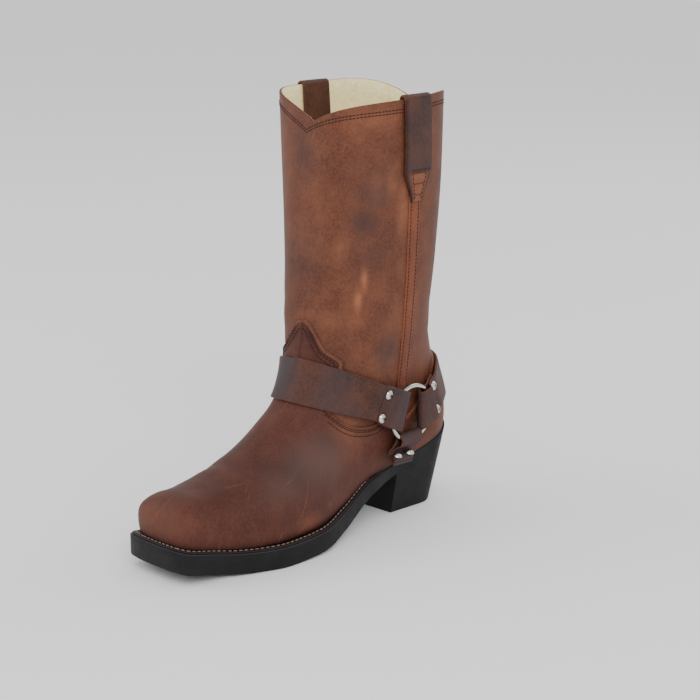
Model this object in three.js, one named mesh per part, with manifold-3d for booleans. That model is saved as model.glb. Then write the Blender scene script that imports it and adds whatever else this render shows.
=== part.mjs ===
// Harness boot for the left foot: a squared toe, an underslung block heel, a pull-on shaft with a
// scalloped collar, and a harness of three straps on a ring at each side of the ankle.
// Millimetres, +Z up, toe towards -Y, outer side of the foot towards +X.
// The origin is the middle of the heel's resting face on the floor.

import * as THREE from 'three';
import { mergeVertices } from 'three/addons/utils/BufferGeometryUtils.js';
import Module from 'manifold-3d';

const wasm = await Module();
wasm.setup();

// Driving dimensions

const SOLE_LENGTH = 306;
const HEEL_OVERHANG = 45;        // back of the sole behind the origin
const BALL_WIDTH = 108;          // sole, outside edge to outside edge
const SEAT_HEIGHT = 67;          // top of the welt at the back of the heel
const FOREPART_HEIGHT = 18;      // top of the welt at the ball
const TOE_SPRING = 11;           // rise of the toe above the ball
const TOE_THICKENING = 1;        // the sole is thicker at the toe than at the ball
const WELT_THICKNESS = 3.4;
const SHANK_THICKNESS = 9.5;     // outsole under the arch and the seat
const WELT_MARGIN = 7;           // welt left showing round the forepart
const SEAT_MARGIN = 4.5;         // and round the heel
const HEEL_BREAST_Y = -28;       // breast of the heel at its top
const HEEL_FACE_FRONT_Y = -32;   // and at its resting face
const HEEL_FACE_BACK_Y = 27;     // back of the resting face
const HEEL_FACE_WIDTH = 62;
const INSTEP_RISE = 126;         // top of the instep above the welt
const BOX_DEPTH = 13;            // height of the widest line of the foot above the welt
const SHAFT_HEIGHT = 350;        // highest point of the collar above the floor
const SHAFT_WIDTH = 118;         // at the collar
const SHAFT_DEPTH = 128;
const SHAFT_CENTRE_Y = -34;
const SHAFT_CENTRE_X = -1.5;
const COLLAR_TILT = 2;           // the inner side of the collar stands higher
const COLLAR_LEAN = 3;           // and so does its back
const FRONT_DIP = 16;            // scallop of the collar
const BACK_DIP = 20;
const SCALLOP_POWER = 3.5;
const SCALLOP_TURN = 0.08;       // radians, the front notch sits towards the outer side
const ANKLE_HEIGHT = 125;        // where rings along the foot become rings round the leg
const ANKLE_BLEND = 26;
const WALL = 2.4;                // shaft leather with its lining
const OVERLAY = 1.3;             // vamp and counter over the shaft leather
const CLEARANCE = 0.3;
const INSOLE_THICKNESS = 5;
const SIDE_STRIP_WIDTH = 12.5;
const SIDE_STRIP_THICKNESS = 1.2;
const SEAM_Y = -34.5;            // side seam of the shaft, under the pull strap
const SEAM_FOOT_Y = -29;         // and at the welt
const PULL_WIDTH = 29.5;
const PULL_THICKNESS = 2.4;
const PULL_OUTER_LENGTH = 83;
const PULL_INNER_LENGTH = 58;
const PULL_CENTRE_Y = -33.5;
const INNER_SHIFT = 8.5;         // the inner side seam and pull strap sit this far back
const PULL_SLACK = 0.9;          // play of the fold over the collar's edge
const STRAP_THICKNESS = 2.4;
const INSTEP_STRAP_WIDTH = 33;
const HEEL_STRAP_WIDTH = 31;
const SOLE_STRAP_WIDTH = 23.5;   // at the ring
const SOLE_STRAP_FLARE = 1;      // wider by this at the welt
const SOLE_STRAP_LIFT = 4;       // its end stands this far above the welt
const RING_DIAMETER = 50;
const ROD_DIAMETER = 4;
const RING_Y = -27;
const RING_RISE = 43.4;          // middle of the ring above the welt beside it
const RIVET_DIAMETER = 8.4;
const RIVET_SHANK = 3.2;
const RIVET_RISE = 2.2;
const RIVET_CLEARANCE = 0.9;     // a flat cap on a bent strap

const HEEL_Y = HEEL_OVERHANG;
const TOE_Y = HEEL_OVERHANG - SOLE_LENGTH;
const HALF_BALL = BALL_WIDTH / 2;

// Outline of the sole: at is the share of its length from the heel, and the widths are shares of
// half the ball width.
const OUTLINE = [
  { at: 0.00, lateral: 0.71, medial: 0.68 },
  { at: 0.12, lateral: 0.68, medial: 0.66 },
  { at: 0.25, lateral: 0.64, medial: 0.60 },
  { at: 0.37, lateral: 0.73, medial: 0.62 },
  { at: 0.49, lateral: 0.88, medial: 0.74 },
  { at: 0.60, lateral: 1.02, medial: 0.89 },
  { at: 0.71, lateral: 1.00, medial: 0.98 },
  { at: 0.80, lateral: 0.84, medial: 0.97 },
  { at: 0.90, lateral: 0.62, medial: 0.85 },
  { at: 1.00, lateral: 0.53, medial: 0.73 },
];

// Side line of the sole's top: seat is a share of the seat's rise above the forepart, spring a
// share of the toe spring.
const SIDE_LINE = [
  { at: 0.00, seat: 1.000, spring: 0.00 },
  { at: 0.13, seat: 0.740, spring: 0.00 },
  { at: 0.25, seat: 0.575, spring: 0.00 },
  { at: 0.37, seat: 0.430, spring: 0.00 },
  { at: 0.43, seat: 0.302, spring: 0.00 },
  { at: 0.49, seat: 0.172, spring: 0.00 },
  { at: 0.57, seat: 0.060, spring: 0.00 },
  { at: 0.64, seat: 0.015, spring: 0.00 },
  { at: 0.71, seat: 0.000, spring: 0.00 },
  { at: 0.76, seat: 0.000, spring: 0.00 },
  { at: 0.84, seat: 0.000, spring: 0.11 },
  { at: 0.91, seat: 0.000, spring: 0.45 },
  { at: 1.00, seat: 0.000, spring: 1.00 },
];

// Cross-sections of the foot: top is a share of the instep's rise, roundness the power of the
// section's curve, and bulge a share of half the ball width.
const FOOT_SECTIONS = [
  { at: 0.00, top: 0.230, roundness: 2.0, bulge: 0.03 },
  { at: 0.10, top: 0.590, roundness: 2.0, bulge: 0.05 },
  { at: 0.30, top: 0.890, roundness: 2.0, bulge: 0.07 },
  { at: 0.42, top: 0.925, roundness: 2.0, bulge: 0.06 },
  { at: 0.50, top: 0.810, roundness: 1.95, bulge: 0.05 },
  { at: 0.58, top: 0.662, roundness: 1.95, bulge: 0.03 },
  { at: 0.66, top: 0.510, roundness: 2.0, bulge: 0.03 },
  { at: 0.74, top: 0.403, roundness: 2.15, bulge: 0.04 },
  { at: 0.82, top: 0.338, roundness: 2.3, bulge: 0.05 },
  { at: 0.90, top: 0.300, roundness: 2.4, bulge: 0.05 },
  { at: 0.96, top: 0.288, roundness: 2.5, bulge: 0.04 },
  { at: 1.00, top: 0.292, roundness: 2.5, bulge: 0.04 },
];

// Rings of the shaft: at is a share of its height, front and back are shares of half its depth
// from its centre, lateral and medial shares of half its width.
const SHAFT_SECTIONS = [
  { at: 0.16, front: 0.41, back: 1.03, lateral: 0.44, medial: 0.43 },
  { at: 0.21, front: 0.56, back: 1.00, lateral: 0.49, medial: 0.47 },
  { at: 0.27, front: 0.78, back: 0.96, lateral: 0.53, medial: 0.51 },
  { at: 0.36, front: 1.04, back: 0.92, lateral: 0.66, medial: 0.68 },
  { at: 0.46, front: 1.09, back: 0.91, lateral: 0.79, medial: 0.84 },
  { at: 0.63, front: 1.04, back: 0.97, lateral: 0.89, medial: 0.92 },
  { at: 0.83, front: 0.98, back: 1.02, lateral: 0.95, medial: 1.06 },
  { at: 1.00, front: 0.97, back: 1.04, lateral: 0.96, medial: 1.13 },
];
const SHAFT_ROUNDNESS = 2.3;

const CORE_Y = -20;              // inside the leg at every height
const WAIST_Y = -60;             // the welt narrows from here to the seat
const TUCK = 0.07;               // the foot draws in below its widest line

// Rounding of the ends: how long each is and the power of its curve.
const HEEL_END = { zone: 31, power: 2.3 };
const TOE_END = { zone: 10, power: 2.7 };
const TOE_BOX_END = { zone: 24, power: 2.25 };
const COUNTER_END = { zone: 20, power: 2.2 };
const BULGE_END = { zone: 20, power: 2 };

// Small maths

const clamp = (value, low, high) => Math.min(Math.max(value, low), high);
const mix = (a, b, t) => a + (b - a) * t;
const ease = (t) => {
  const s = clamp(t, 0, 1);
  return s * s * (3 - 2 * s);
};

// Smooth curve through one column of a table, with no overshoot between its rows.
function curveThrough(rows, column) {
  const x = rows.map((row) => row.at);
  const y = rows.map((row) => row[column]);
  const last = x.length - 1;
  const step = x.slice(1).map((value, i) => value - x[i]);
  const slope = step.map((width, i) => (y[i + 1] - y[i]) / width);
  const tangent = x.map((_, i) => {
    if (i === 0) return slope[0];
    if (i === last) return slope[last - 1];
    if (slope[i - 1] * slope[i] <= 0) return 0;
    const before = 2 * step[i] + step[i - 1];
    const after = step[i] + 2 * step[i - 1];
    return (before + after) / (before / slope[i - 1] + after / slope[i]);
  });
  return (t) => {
    const at = clamp(t, x[0], x[last]);
    let i = 0;
    while (i < last - 1 && at > x[i + 1]) i += 1;
    const h = step[i];
    const s = (at - x[i]) / h;
    const r = 1 - s;
    return y[i] * (1 + 2 * s) * r * r + tangent[i] * h * s * r * r
      + y[i + 1] * s * s * (3 - 2 * s) - tangent[i + 1] * h * s * s * r;
  };
}

// 1 away from an end, falling to 0 at it along a superellipse.
function endRound(distance, { zone, power }) {
  const t = clamp(1 - distance / zone, 0, 1);
  return (1 - t ** power) ** (1 / power);
}

const outline = {
  lateral: curveThrough(OUTLINE, 'lateral'),
  medial: curveThrough(OUTLINE, 'medial'),
};
const sideLine = {
  seat: curveThrough(SIDE_LINE, 'seat'),
  spring: curveThrough(SIDE_LINE, 'spring'),
};
const foot = {
  top: curveThrough(FOOT_SECTIONS, 'top'),
  roundness: curveThrough(FOOT_SECTIONS, 'roundness'),
  bulge: curveThrough(FOOT_SECTIONS, 'bulge'),
};
const shaft = {
  front: curveThrough(SHAFT_SECTIONS, 'front'),
  back: curveThrough(SHAFT_SECTIONS, 'back'),
  lateral: curveThrough(SHAFT_SECTIONS, 'lateral'),
  medial: curveThrough(SHAFT_SECTIONS, 'medial'),
};

const shareAlong = (y) => (HEEL_Y - y) / SOLE_LENGTH;

// Half width of the sole at y on one side, drawn in by inset all round.
function halfWidth(y, side, inset = 0) {
  const width = (side > 0 ? outline.lateral : outline.medial)(shareAlong(y)) * HALF_BALL - inset;
  const heelEnd = endRound(HEEL_Y - inset - y, HEEL_END);
  const toeEnd = endRound(y - TOE_Y - inset, TOE_END);
  return width * heelEnd * toeEnd;
}

// Height of the welt's top at y.
function seatLine(y) {
  const at = shareAlong(y);
  const seat = (SEAT_HEIGHT - FOREPART_HEIGHT) * sideLine.seat(at);
  return FOREPART_HEIGHT + seat + TOE_SPRING * sideLine.spring(at);
}

// Underside of the outsole: on the floor at the ball, an even shank under the arch and the seat.
function underside(y) {
  const at = shareAlong(y);
  const seat = sideLine.seat(at);
  const forepart = FOREPART_HEIGHT - WELT_THICKNESS;
  const toe = TOE_THICKENING * sideLine.spring(at);
  const thickness = mix(forepart, SHANK_THICKNESS, ease(seat / 0.6)) + toe;
  return seatLine(y) - WELT_THICKNESS - thickness;
}

function marginAt(y) {
  return mix(WELT_MARGIN, SEAT_MARGIN, ease((y - WAIST_Y) / 50));
}

// The last: below zero inside, above zero outside, near to millimetres.
function footField(x, y, z) {
  const at = clamp(shareAlong(y), 0, 1);
  const side = x >= 0 ? 1 : -1;
  const boxFront = TOE_Y + WELT_MARGIN;
  const bulge = foot.bulge(at) * HALF_BALL * endRound(y - boxFront, BULGE_END)
    * endRound(HEEL_Y - SEAT_MARGIN - y, HEEL_END);
  const width = Math.max(halfWidth(y, side, marginAt(y)) + bulge, 0.05);
  const widest = seatLine(y) + BOX_DEPTH;
  const ends = endRound(y - boxFront, TOE_BOX_END) * endRound(HEEL_Y - SEAT_MARGIN - y, COUNTER_END);
  const crown = Math.max((foot.top(at) * INSTEP_RISE - BOX_DEPTH) * ends, 0.05);
  const power = foot.roundness(at);
  const across = Math.abs(x) / width;
  let reach = (across ** power + (Math.max(z - widest, 0) / crown) ** power) ** (1 / power);
  if (z < widest) {
    const tuck = clamp((widest - z) / BOX_DEPTH, 0, 1.5);
    reach = across / (1 - TUCK * tuck * tuck);
  }
  const beyond = Math.max(boxFront - y, 0) + Math.max(y - HEEL_Y + SEAT_MARGIN, 0);
  return (reach - 1) * Math.min(width, crown) + 3 * beyond;
}

function shaftField(x, y, z) {
  const at = z / SHAFT_HEIGHT;
  const front = SHAFT_CENTRE_Y - shaft.front(at) * SHAFT_DEPTH / 2;
  const back = SHAFT_CENTRE_Y + shaft.back(at) * SHAFT_DEPTH / 2;
  const middle = (front + back) / 2;
  const halfDepth = (back - front) / 2;
  const lean = SHAFT_CENTRE_X * ease((z - ANKLE_HEIGHT) / 60);
  const across = (x >= lean ? shaft.lateral : shaft.medial)(at) * SHAFT_WIDTH / 2;
  const n = SHAFT_ROUNDNESS;
  const reach = ((Math.abs(x - lean) / across) ** n + (Math.abs(y - middle) / halfDepth) ** n) ** (1 / n);
  return (reach - 1) * Math.min(across, halfDepth);
}

function bootField(x, y, z) {
  const a = footField(x, y, z);
  const b = shaftField(x, y, z);
  const h = Math.max(ANKLE_BLEND - Math.abs(a - b), 0) / ANKLE_BLEND;
  return Math.min(a, b) - h * h * ANKLE_BLEND / 4;
}

function outwardAt(x, y, z) {
  const d = 0.4;
  return new THREE.Vector3(
    bootField(x + d, y, z) - bootField(x - d, y, z),
    bootField(x, y + d, z) - bootField(x, y - d, z),
    bootField(x, y, z + d) - bootField(x, y, z - d),
  ).normalize();
}

// Surface point from (x, y) along (dx, dy), at the height that heightAt gives for each place.
function surfaceFrom(x, y, dx, dy, heightAt, reach = 260) {
  let low = 0;
  let high = reach;
  for (let i = 0; i < 36; i += 1) {
    const middle = (low + high) / 2;
    const px = x + middle * dx;
    const py = y + middle * dy;
    if (bootField(px, py, heightAt(px, py)) < 0) low = middle;
    else high = middle;
  }
  const r = (low + high) / 2;
  return new THREE.Vector3(x + r * dx, y + r * dy, heightAt(x + r * dx, y + r * dy));
}

// Scallop of the collar at an angle round the shaft, 0 at the front and PI at the back.
function collarHeight(side, angle) {
  const fromFront = clamp(Math.abs(angle - SCALLOP_TURN * side) / (Math.PI / 2), 0, 1);
  const fromBack = clamp((Math.PI - angle) / (Math.PI / 2), 0, 1);
  const tilt = COLLAR_TILT * side * Math.sin(angle);
  const dip = FRONT_DIP * (1 - fromFront) ** SCALLOP_POWER + BACK_DIP * (1 - fromBack) ** SCALLOP_POWER;
  return SHAFT_HEIGHT - tilt - COLLAR_LEAN * Math.cos(angle) - dip;
}

// Levels run from 0 at the welt to 1 at the ankle and 2 at the collar.
function levelHeight(level, y, collar) {
  const low = Math.min(level, 1);
  const high = Math.max(level - 1, 0);
  const welt = seatLine(y) + 1.7 * CLEARANCE;
  return (1 - low) * welt + low * ANKLE_HEIGHT + (collar - ANKLE_HEIGHT) * high;
}

// Rays of one ring: a fan round the front, square to the sides, a fan round the back.
function ringRays(front, back, counts) {
  const frontFan = Math.min(TOE_BOX_END.zone, (back - front) * 0.4);
  const backFan = Math.min(HEEL_END.zone, (back - front) * 0.4);
  const startY = front + frontFan;
  const endY = back - backFan;
  const rays = [];
  for (let i = 0; i <= counts.front; i += 1) {
    const a = (i / counts.front) * Math.PI / 2;
    rays.push({ y: startY, dx: Math.sin(a), dy: -Math.cos(a) });
  }
  for (let i = 1; i < counts.side; i += 1) {
    rays.push({ y: mix(startY, endY, i / counts.side), dx: 1, dy: 0 });
  }
  for (let i = 0; i <= counts.back; i += 1) {
    const a = Math.PI / 2 + (i / counts.back) * Math.PI / 2;
    rays.push({ y: endY, dx: Math.sin(a), dy: -Math.cos(a) });
  }
  return rays;
}

// One ring of surface points at a level, offset outwards.
function ringAt(level, offset, counts) {
  const flat = (px, py) => levelHeight(level, py, SHAFT_HEIGHT);
  const front = surfaceFrom(0, CORE_Y, 0, -1, flat).y;
  const back = surfaceFrom(0, CORE_Y, 0, 1, flat, 90).y;
  const rays = ringRays(front, back, counts);
  const place = (ray, side) => {
    const rough = surfaceFrom(0, ray.y, side * ray.dx, ray.dy, flat);
    const angle = Math.abs(Math.atan2(rough.x - SHAFT_CENTRE_X, -(rough.y - SHAFT_CENTRE_Y)));
    const collar = level > 1 ? collarHeight(side, angle) : SHAFT_HEIGHT;
    const heightAt = (px, py) => levelHeight(level, py, collar);
    const p = surfaceFrom(0, ray.y, side * ray.dx, ray.dy, heightAt);
    const n = outwardAt(p.x, p.y, p.z);
    n.z *= ease(level / 0.08) * ease((2 - level) / 0.1);
    if (ray.dx < 1e-9) n.x = 0;
    return p.addScaledVector(n.normalize(), offset);
  };
  const lateral = rays.map((ray) => place(ray, 1));
  const medial = rays.slice(1, -1).reverse().map((ray) => place(ray, -1));
  return lateral.concat(medial);
}

// Solids

function solidFrom(positions, triangles) {
  const geometry = new THREE.BufferGeometry();
  geometry.setAttribute('position', new THREE.Float32BufferAttribute(positions, 3));
  geometry.setIndex(triangles);
  return geometry;
}

function withSharedVertices(geometry) {
  const bare = geometry.clone();
  bare.deleteAttribute('normal');
  bare.deleteAttribute('uv');
  return mergeVertices(bare, 1e-5);
}

function toManifold(geometry) {
  const merged = withSharedVertices(geometry);
  return new wasm.Manifold(new wasm.Mesh({
    numProp: 3,
    vertProperties: new Float32Array(merged.attributes.position.array),
    triVerts: new Uint32Array(merged.index.array),
  }));
}

function fromManifold(solid) {
  const mesh = solid.getMesh();
  return solidFrom(mesh.vertProperties, Array.from(mesh.triVerts));
}

// Closed solid from rings with the same number of points, closed off by a ladder between the two
// sides at each end.
function ringSolid(rings) {
  const count = rings[0].length;
  const points = rings.flat();
  const positions = points.flatMap((p) => [p.x, p.y, p.z]);
  const triangles = [];
  for (let i = 0; i + 1 < rings.length; i += 1) {
    for (let j = 0; j < count; j += 1) {
      const a = i * count + j;
      const b = i * count + (j + 1) % count;
      const [c, d] = [b + count, a + count];
      const shorter = points[a].distanceTo(points[c]) < points[b].distanceTo(points[d]);
      if (shorter) triangles.push(a, b, c, a, c, d);
      else triangles.push(a, b, d, b, c, d);
    }
  }
  const top = (rings.length - 1) * count;
  for (let j = 0; j < count / 2; j += 1) {
    const other = (count - j) % count;
    const nextOther = count - j - 1;
    if (j > 0) {
      triangles.push(j, other, j + 1);
      triangles.push(top + j, top + j + 1, top + other);
    }
    if (j + 1 < count / 2) {
      triangles.push(other, nextOther, j + 1);
      triangles.push(top + other, top + j + 1, top + nextOther);
    }
  }
  return solidFrom(positions, triangles);
}

// Closed solid between an outer and an inner grid of points.
function sheetSolid(outer, inner) {
  const rows = outer.length;
  const columns = outer[0].length;
  const positions = outer.concat(inner).flat().flatMap((p) => [p.x, p.y, p.z]);
  const at = (layer, i, j) => (layer * rows + i) * columns + j;
  const triangles = [];
  const quad = (a, b, c, d) => triangles.push(a, b, c, a, c, d);
  for (let i = 0; i + 1 < rows; i += 1) {
    for (let j = 0; j + 1 < columns; j += 1) {
      quad(at(0, i, j), at(0, i, j + 1), at(0, i + 1, j + 1), at(0, i + 1, j));
      quad(at(1, i, j), at(1, i + 1, j), at(1, i + 1, j + 1), at(1, i, j + 1));
    }
    quad(at(0, i, 0), at(0, i + 1, 0), at(1, i + 1, 0), at(1, i, 0));
    const last = columns - 1;
    quad(at(0, i, last), at(1, i, last), at(1, i + 1, last), at(0, i + 1, last));
  }
  for (let j = 0; j + 1 < columns; j += 1) {
    quad(at(0, 0, j), at(1, 0, j), at(1, 0, j + 1), at(0, 0, j + 1));
    const last = rows - 1;
    quad(at(0, last, j), at(0, last, j + 1), at(1, last, j + 1), at(1, last, j));
  }
  return solidFrom(positions, triangles);
}

// Turns a solid's faces outwards where its grid ran the other way round.
function facingOut(source) {
  const geometry = withSharedVertices(source);
  const index = Array.from(geometry.index.array);
  const p = geometry.attributes.position;
  const corner = (i) => new THREE.Vector3().fromBufferAttribute(p, i);
  let volume = 0;
  for (let i = 0; i < index.length; i += 3) {
    const [a, b, c] = [corner(index[i]), corner(index[i + 1]), corner(index[i + 2])];
    volume += a.dot(b.cross(c));
  }
  if (volume >= 0) return geometry;
  const flipped = [];
  for (let i = 0; i < index.length; i += 3) flipped.push(index[i], index[i + 2], index[i + 1]);
  geometry.setIndex(flipped);
  return geometry;
}

// Outline of the sole as pairs of half widths along y, closer together at the two ends.
function soleStations(inset) {
  const front = TOE_Y + inset;
  const back = HEEL_Y - inset;
  const stations = [];
  const ends = 5;
  for (let i = 0; i <= ends; i += 1) {
    stations.push(front + 2 * TOE_END.zone * (1 - Math.cos((i / ends) * Math.PI / 2)));
  }
  const middle = 19;
  for (let i = 1; i < middle; i += 1) {
    stations.push(mix(front + 2 * TOE_END.zone, back - HEEL_END.zone, i / middle));
  }
  for (let i = 0; i <= ends; i += 1) {
    stations.push(back - HEEL_END.zone * Math.cos((i / ends) * Math.PI / 2));
  }
  return stations;
}

function plate(inset, lowAt, highAt, from = -Infinity) {
  const stations = soleStations(inset).filter((y) => y >= from);
  const row = (heightAt) => {
    const lateral = stations.map((y) => new THREE.Vector3(halfWidth(y, 1, inset), y, heightAt(y)));
    const medial = stations.map((y) => new THREE.Vector3(-halfWidth(y, -1, inset), y, heightAt(y)));
    return lateral.concat(medial.slice(1, -1).reverse());
  };
  return facingOut(ringSolid([row(lowAt), row(highAt)]));
}

// Prism of an outline: along X where it is drawn in (y, z), along Y where it is drawn in (x, z).
function prism(points, axis, from, to) {
  const shape = new THREE.Shape(points.map(([u, v]) => new THREE.Vector2(u, v)));
  const geometry = new THREE.ExtrudeGeometry(shape, { depth: to - from, bevelEnabled: false });
  const basis = new THREE.Matrix4();
  if (axis === 'x') {
    basis.makeBasis(new THREE.Vector3(0, 1, 0), new THREE.Vector3(0, 0, 1), new THREE.Vector3(1, 0, 0));
    basis.setPosition(from, 0, 0);
  } else {
    basis.makeBasis(new THREE.Vector3(1, 0, 0), new THREE.Vector3(0, 0, 1), new THREE.Vector3(0, -1, 0));
    basis.setPosition(0, to, 0);
  }
  return toManifold(facingOut(geometry.applyMatrix4(basis)));
}

const group = new THREE.Group();
const finishes = {
  leather: { color: 0x7a4a35, roughness: 0.55, metalness: 0 },
  strap: { color: 0x4a3833, roughness: 0.6, metalness: 0 },
  rubber: { color: 0x2b2a2c, roughness: 0.7, metalness: 0 },
  steel: { color: 0xd9d9dc, roughness: 0.2, metalness: 1 },
  insole: { color: 0xb79a74, roughness: 0.85, metalness: 0 },
};
const materials = Object.fromEntries(
  Object.entries(finishes).map(([name, finish]) => [name, new THREE.MeshStandardMaterial(finish)]),
);

function add(name, geometry, finish) {
  geometry.computeVertexNormals();
  const mesh = new THREE.Mesh(geometry, materials[finish]);
  mesh.name = name;
  group.add(mesh);
}

// Outsole, welt and insole

const WELT_INSIDE = 13.5;        // from the sole's edge to the welt's inner edge
const outsoleTop = (y) => seatLine(y) - WELT_THICKNESS - CLEARANCE / 2;
const weltBottom = (y) => seatLine(y) - WELT_THICKNESS + CLEARANCE / 2;
add('outsole', plate(0, underside, outsoleTop), 'rubber');
const weltPlate = toManifold(plate(0, weltBottom, seatLine));
const weltHole = toManifold(plate(WELT_INSIDE, (y) => seatLine(y) - 9, (y) => seatLine(y) + 9));
add('welt', fromManifold(weltPlate.subtract(weltHole)), 'rubber');
const insoleTop = (y) => weltBottom(y) + INSOLE_THICKNESS;
add('insole', plate(WELT_INSIDE + CLEARANCE, weltBottom, insoleTop), 'insole');

// Heel block: its top follows the underside of the outsole, its back and sides lean in.

function heelBlock() {
  const along = 10;
  const levels = 4;
  const rings = [];
  for (let i = 0; i <= levels; i += 1) {
    const t = i / levels;
    const front = mix(HEEL_FACE_FRONT_Y, HEEL_BREAST_Y, t);
    const back = mix(HEEL_FACE_BACK_Y, HEEL_Y - 1, t);
    const round = { zone: mix(24, 32, t), power: 2.1 };
    const edge = (side) => Array.from({ length: along + 1 }, (_, k) => {
      const y = mix(front, back, Math.sin((k / along) * Math.PI / 2));
      const full = outline.lateral(shareAlong(Math.min(y, 10))) * HALF_BALL - 0.6;
      const width = mix(HEEL_FACE_WIDTH / 2, full, t) * endRound(back - y, round);
      return new THREE.Vector3(side * width, y, t * (underside(y) - CLEARANCE));
    });
    const lateral = edge(1);
    const medial = edge(-1);
    rings.push(lateral.concat(medial.slice(0, -1).reverse()));
  }
  return rings;
}

// Closed solid from open-ended rings whose two halves start at the breast.
function blockSolid(rings) {
  const count = rings[0].length;
  const half = (count + 1) / 2;
  const positions = rings.flat().flatMap((p) => [p.x, p.y, p.z]);
  const triangles = [];
  for (let i = 0; i + 1 < rings.length; i += 1) {
    for (let j = 0; j < count; j += 1) {
      const a = i * count + j;
      const b = i * count + (j + 1) % count;
      triangles.push(a, b, b + count, a, b + count, a + count);
    }
  }
  const top = (rings.length - 1) * count;
  for (let j = 0; j + 1 < half; j += 1) {
    const left = count - 1 - j;
    triangles.push(j, left, j + 1, top + j, top + j + 1, top + left);
    if (j + 2 < half) {
      triangles.push(left, left - 1, j + 1, top + left, top + j + 1, top + left - 1);
    }
  }
  return facingOut(solidFrom(positions, triangles));
}

add('heel', blockSolid(heelBlock()), 'rubber');

// Upper: one hollow wall, thicker where the vamp and the counter lie over the shaft leather

const OUTER_COUNTS = { front: 6, side: 10, back: 4 };
const INNER_COUNTS = { front: 5, side: 7, back: 3 };
const FOOT_LEVELS = [0, 0.03, 0.08, 0.14, 0.20, 0.26, 0.31, 0.36, 0.41, 0.47, 0.56, 0.66, 0.76, 0.87, 1];
const SHAFT_LEVELS = [1.08, 1.17, 1.28, 1.45, 1.65, 1.85, 2];
const INNER_LEVELS = [-0.05, 0.04, 0.13, 0.23, 0.33, 0.45, 0.6, 0.78, 0.9, 1, 1.1, 1.26, 1.65, 2.06];

const shell = (levels, offset, counts) => toManifold(
  facingOut(ringSolid(levels.map((level) => ringAt(level, offset, counts)))),
);
const outerLevels = FOOT_LEVELS.concat(SHAFT_LEVELS);
const overlayLevels = [0.006].concat(outerLevels.filter((level) => level > 0.01 && level < 1.5));

// Edge of the vamp and the counter seen from the side, with the dip below the instep strap: along
// is a share of the sole's length from the heel, up a share of the instep's rise above the floor.
const VAMP_EDGE = [
  { along: 1.10, up: 0.89 }, { along: 0.575, up: 0.89 }, { along: 0.55, up: 0.82 },
  { along: 0.51, up: 0.74 }, { along: 0.465, up: 0.695 }, { along: 0.42, up: 0.675 },
  { along: 0.375, up: 0.685 }, { along: 0.335, up: 0.72 }, { along: 0.305, up: 0.775 },
  { along: 0.28, up: 0.825 }, { along: 0.245, up: 0.84 },
];
const COUNTER_EDGE = [
  { along: 0.242, up: 0.64 }, { along: 0.195, up: 0.71 }, { along: 0.135, up: 0.86 },
  { along: 0.09, up: 0.985 }, { along: 0.055, up: 1.05 }, { along: -0.05, up: 1.095 },
];
// Edge of the vamp's tongue seen from the front: out is a share of half the ball width.
const TONGUE_EDGE = [
  { out: 0.81, up: 0.83 }, { out: 0.70, up: 0.90 }, { out: 0.57, up: 1.09 }, { out: 0.58, up: 1.13 },
  { out: 0.53, up: 1.16 }, { out: 0.39, up: 1.20 }, { out: 0.30, up: 1.25 }, { out: 0.21, up: 1.31 },
  { out: 0.12, up: 1.36 }, { out: 0.055, up: 1.375 },
];
const sideEdge = VAMP_EDGE.concat(COUNTER_EDGE).map(({ along, up }) => (
  [HEEL_Y - along * SOLE_LENGTH, up * INSTEP_RISE]
));
const overlaySide = [[sideEdge[0][0], -20], ...sideEdge, [sideEdge.at(-1)[0], -20]];
const tongueHalf = TONGUE_EDGE.map(({ out, up }) => [out * HALF_BALL, up * INSTEP_RISE]);
const overlayFront = tongueHalf.concat(tongueHalf.map(([x, z]) => [-x, z]).reverse());
const frontHalf = prism(overlayFront, 'y', TOE_Y, SHAFT_CENTRE_Y - 0.36 * SHAFT_DEPTH);
const overlayRegion = prism(overlaySide, 'x', -SHAFT_WIDTH, SHAFT_WIDTH).add(frontHalf);
const overlay = shell(overlayLevels, OVERLAY, OUTER_COUNTS).intersect(overlayRegion);
const wallOutside = shell(outerLevels, 0, OUTER_COUNTS).add(overlay);
const cavity = shell(INNER_LEVELS, -WALL, INNER_COUNTS);
add('upper', fromManifold(wallOutside.subtract(cavity)), 'leather');

// Side strips over the seams, from the pull straps down into the rings

const sideSurface = (side, y, z) => surfaceFrom(0, y, side, 0, () => z);
const PULL_BOTTOM = SHAFT_HEIGHT - PULL_OUTER_LENGTH;
const STRIP_BOTTOM = seatLine(SEAM_FOOT_Y) + 1.2;
const shiftOf = (side) => (side > 0 ? 0 : INNER_SHIFT);
const seamAt = (side, z) => {
  const share = clamp(z / PULL_BOTTOM, 0, 1);
  return mix(SEAM_FOOT_Y, SEAM_Y, share) + shiftOf(side) * ease(share * 1.6 - 0.6);
};

function sideStrip(side) {
  const rows = 12;
  const columns = 2;
  const grid = (lift) => Array.from({ length: rows + 1 }, (_, i) => {
    const z = mix(STRIP_BOTTOM, PULL_BOTTOM - CLEARANCE, i / rows);
    return Array.from({ length: columns + 1 }, (__, j) => {
      const y = seamAt(side, z) + SIDE_STRIP_WIDTH * (j / columns - 0.5);
      const p = sideSurface(side, y, z);
      const step = OVERLAY * ease((ANKLE_HEIGHT - 8 - z) / 5);
      return p.addScaledVector(outwardAt(p.x, p.y, p.z), step + lift);
    });
  });
  const under = 1.3 * CLEARANCE;
  return facingOut(sheetSolid(grid(under + SIDE_STRIP_THICKNESS), grid(under)));
}

// Pull straps folded over the collar

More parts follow.
